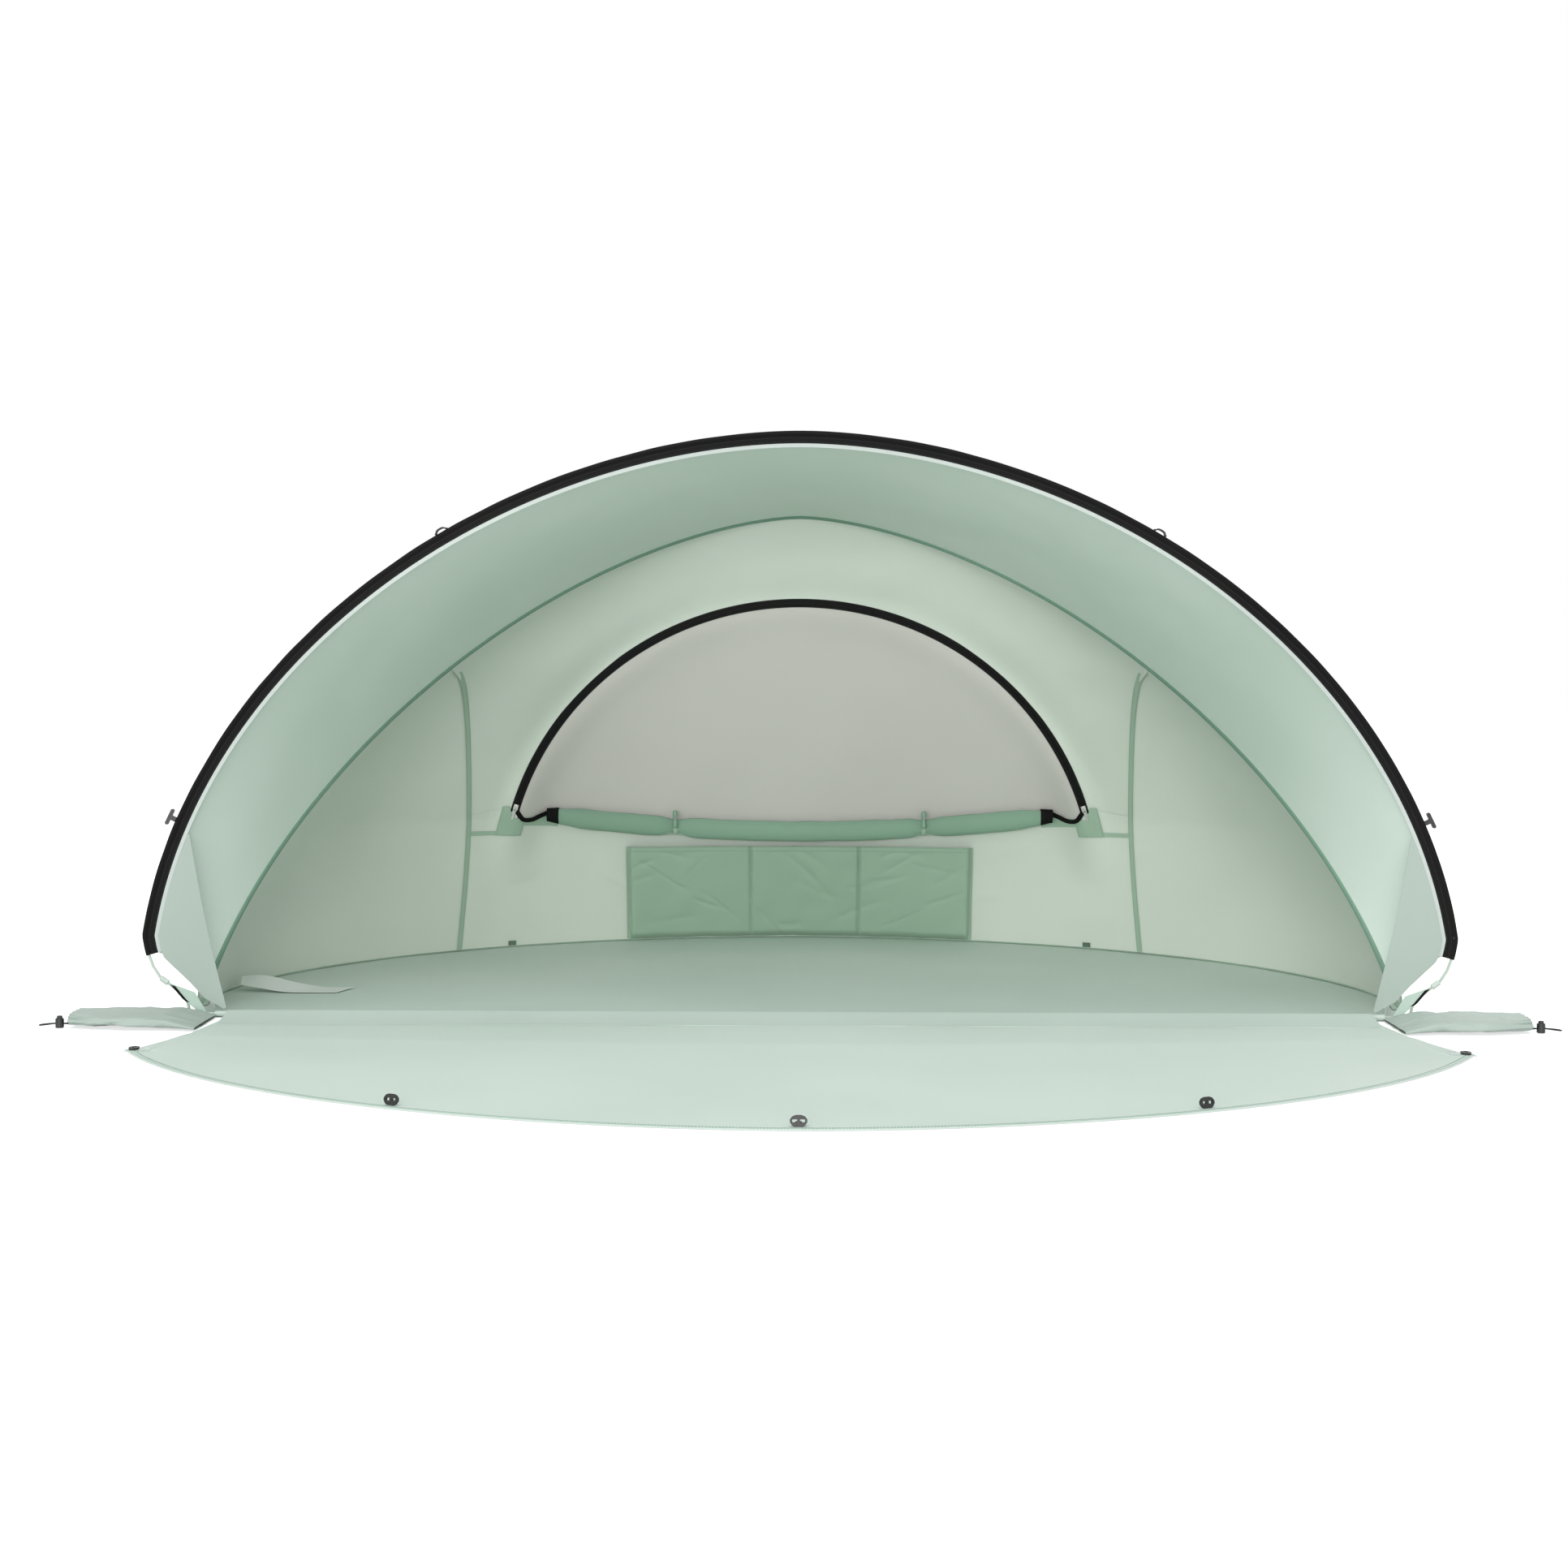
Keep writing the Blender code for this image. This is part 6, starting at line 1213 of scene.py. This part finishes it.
across = framesAlong(rearPath, rearNormal)
n, b = stitch["rearSeam"]
rows = [rearPath + across * n + rearNormal * b * side for side in (-1, 1)]
stitchRows("rearSeamStitches", rows, paleThread, "rear_arch")
across = framesAlong(frontPath, (0, 1, 0))
rows = [frontPath + across * n + np.array([0, stitch["frontLift"], 0]) for n in stitch["frontRows"]]
stitchRows("frontSleeveStitches", rows, darkThread, "front_arch")
turns = np.linspace(-window["sweep"], window["sweep"], 700)
rows = [zipPoint(turns, window["radius"] + side * stitch["zipApart"], stitch["zipLift"]) for side in (-1, 1)]
stitchRows("zipStitches", rows, darkThread, "walls")
print("stitches ready")

# Finishes of the rigid pieces that the frame brings
finishes = {"rod": glassFibre, "ferrule": platedSteel, "zip_slider": platedSteel, "zip_pull": platedSteel,
            "flap_toggle": mintAcetal, "arch_toggle": blackAcetal, "hook": blackAcetal, "cord_lock": blackAcetal}
for node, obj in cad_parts.items():
    if obj.hide_render:
        continue
    for key, finish in finishes.items():
        if key in node and not ("rod_guide" in node or "sleeve" in node):
            obj.data.materials.clear()
            obj.data.materials.append(finish)
            break
    else:
        print("no finish for", node)
print("finishes ready")

# Studio and camera
studio = dict(lens=55.45, eye=(0.0, -3.85, 0.56), pitch=2.71, yaw=0.37, roll=0.15, floorHalf=30,
              floorLevel=-0.0006, floorGlow=0.62, skyColour=(0.93, 0.95, 0.97, 1), skyStrength=0.62)
# each lamp is given as its place, target, size in metres and power in watts
lamps = dict(frontBox=((-1.8, -11.0, 1.4), (0.05, 0.6, 0.45), (9.0, 2.6), 570),
             highBox=((-0.6, -3.4, 3.6), (0, 0.1, 0.1), (3.0, 1.6), 60),
             topBox=((0.3, 0.2, 4.2), (0, 0.4, 0), (4.0, 3.0), 45),
             backBox=((0.8, 4.2, 2.6), (0, 0.6, 0.4), (3.0, 2.0), 50))


def lookFrom(settings):
    lens = bpy.data.cameras.new("studioCamera")
    lens.lens = settings["lens"]
    lens.sensor_width = 36
    lens.clip_end = 60
    made = newObject("studioCamera", lens)
    yaw, pitch, roll = [radians(a) for a in (settings["yaw"], 90 - settings["pitch"], settings["roll"])]
    turn = Matrix.Rotation(yaw, 4, "Z") @ Matrix.Rotation(pitch, 4, "X") @ Matrix.Rotation(roll, 4, "Z")
    made.matrix_world = Matrix.Translation(settings["eye"]) @ turn
    scene.camera = made


def softLamp(name, place, target, size, power):
    lamp = bpy.data.lights.new(name, "AREA")
    lamp.shape = "RECTANGLE"
    lamp.size, lamp.size_y = size
    lamp.energy = power
    made = newObject(name, lamp)
    way = Vector(target) - Vector(place)
    made.matrix_world = Matrix.Translation(place) @ way.to_track_quat("-Z", "Y").to_matrix().to_4x4()
    made.visible_camera = False


def whiteForCamera(tree):
    # white where the camera, a gloss or a clear piece sees it
    path = addNode(tree, "ShaderNodeLightPath").outputs
    seen = path["Is Camera Ray"]
    for ray in ("Is Glossy Ray", "Is Transmission Ray"):
        seen = addNode(tree, "ShaderNodeMath", {"operation": "MAXIMUM"}, {0: seen, 1: path[ray]}).outputs[0]
    return seen


def studioFloor():
    mesh = bpy.data.meshes.new("studioFloor")
    far, level = studio["floorHalf"], studio["floorLevel"]
    mesh.from_pydata([(-far, -far, level), (far, -far, level), (far, far, level), (-far, far, level)], [],
                     [(0, 1, 2, 3)])
    made = newObject("studioFloor", mesh)
    paint, tree, shader = newMaterial("pale studio floor", ["#E4E6E5"], 0.9, specular=0.1)[:3]  # matt paper
    glow = addNode(tree, "ShaderNodeMath", {"operation": "MULTIPLY", 1: studio["floorGlow"]},
                   {0: whiteForCamera(tree)})
    shader.inputs["Emission Color"].default_value = (1, 1, 1, 1)
    tree.links.new(glow.outputs[0], shader.inputs["Emission Strength"])
    mesh.materials.append(paint)


def studioWorld():
    world = bpy.data.worlds.new("studio")
    world.use_nodes = True
    scene.world = world
    tree = world.node_tree
    light = tree.nodes["Background"]
    light.inputs["Color"].default_value = studio["skyColour"]
    light.inputs["Strength"].default_value = studio["skyStrength"]
    white = addNode(tree, "ShaderNodeBackground", {"Color": (1, 1, 1, 1)})
    mix = addNode(tree, "ShaderNodeMixShader", {}, {"Fac": whiteForCamera(tree), 1: light.outputs[0],
                                                    2: white.outputs[0]})
    tree.links.new(mix.outputs[0], tree.nodes["World Output"].inputs["Surface"])


lookFrom(studio)
studioFloor()
studioWorld()
for name, settings in lamps.items():
    softLamp(name, *settings)
scene.view_settings.view_transform = "Standard"
print("studio ready")
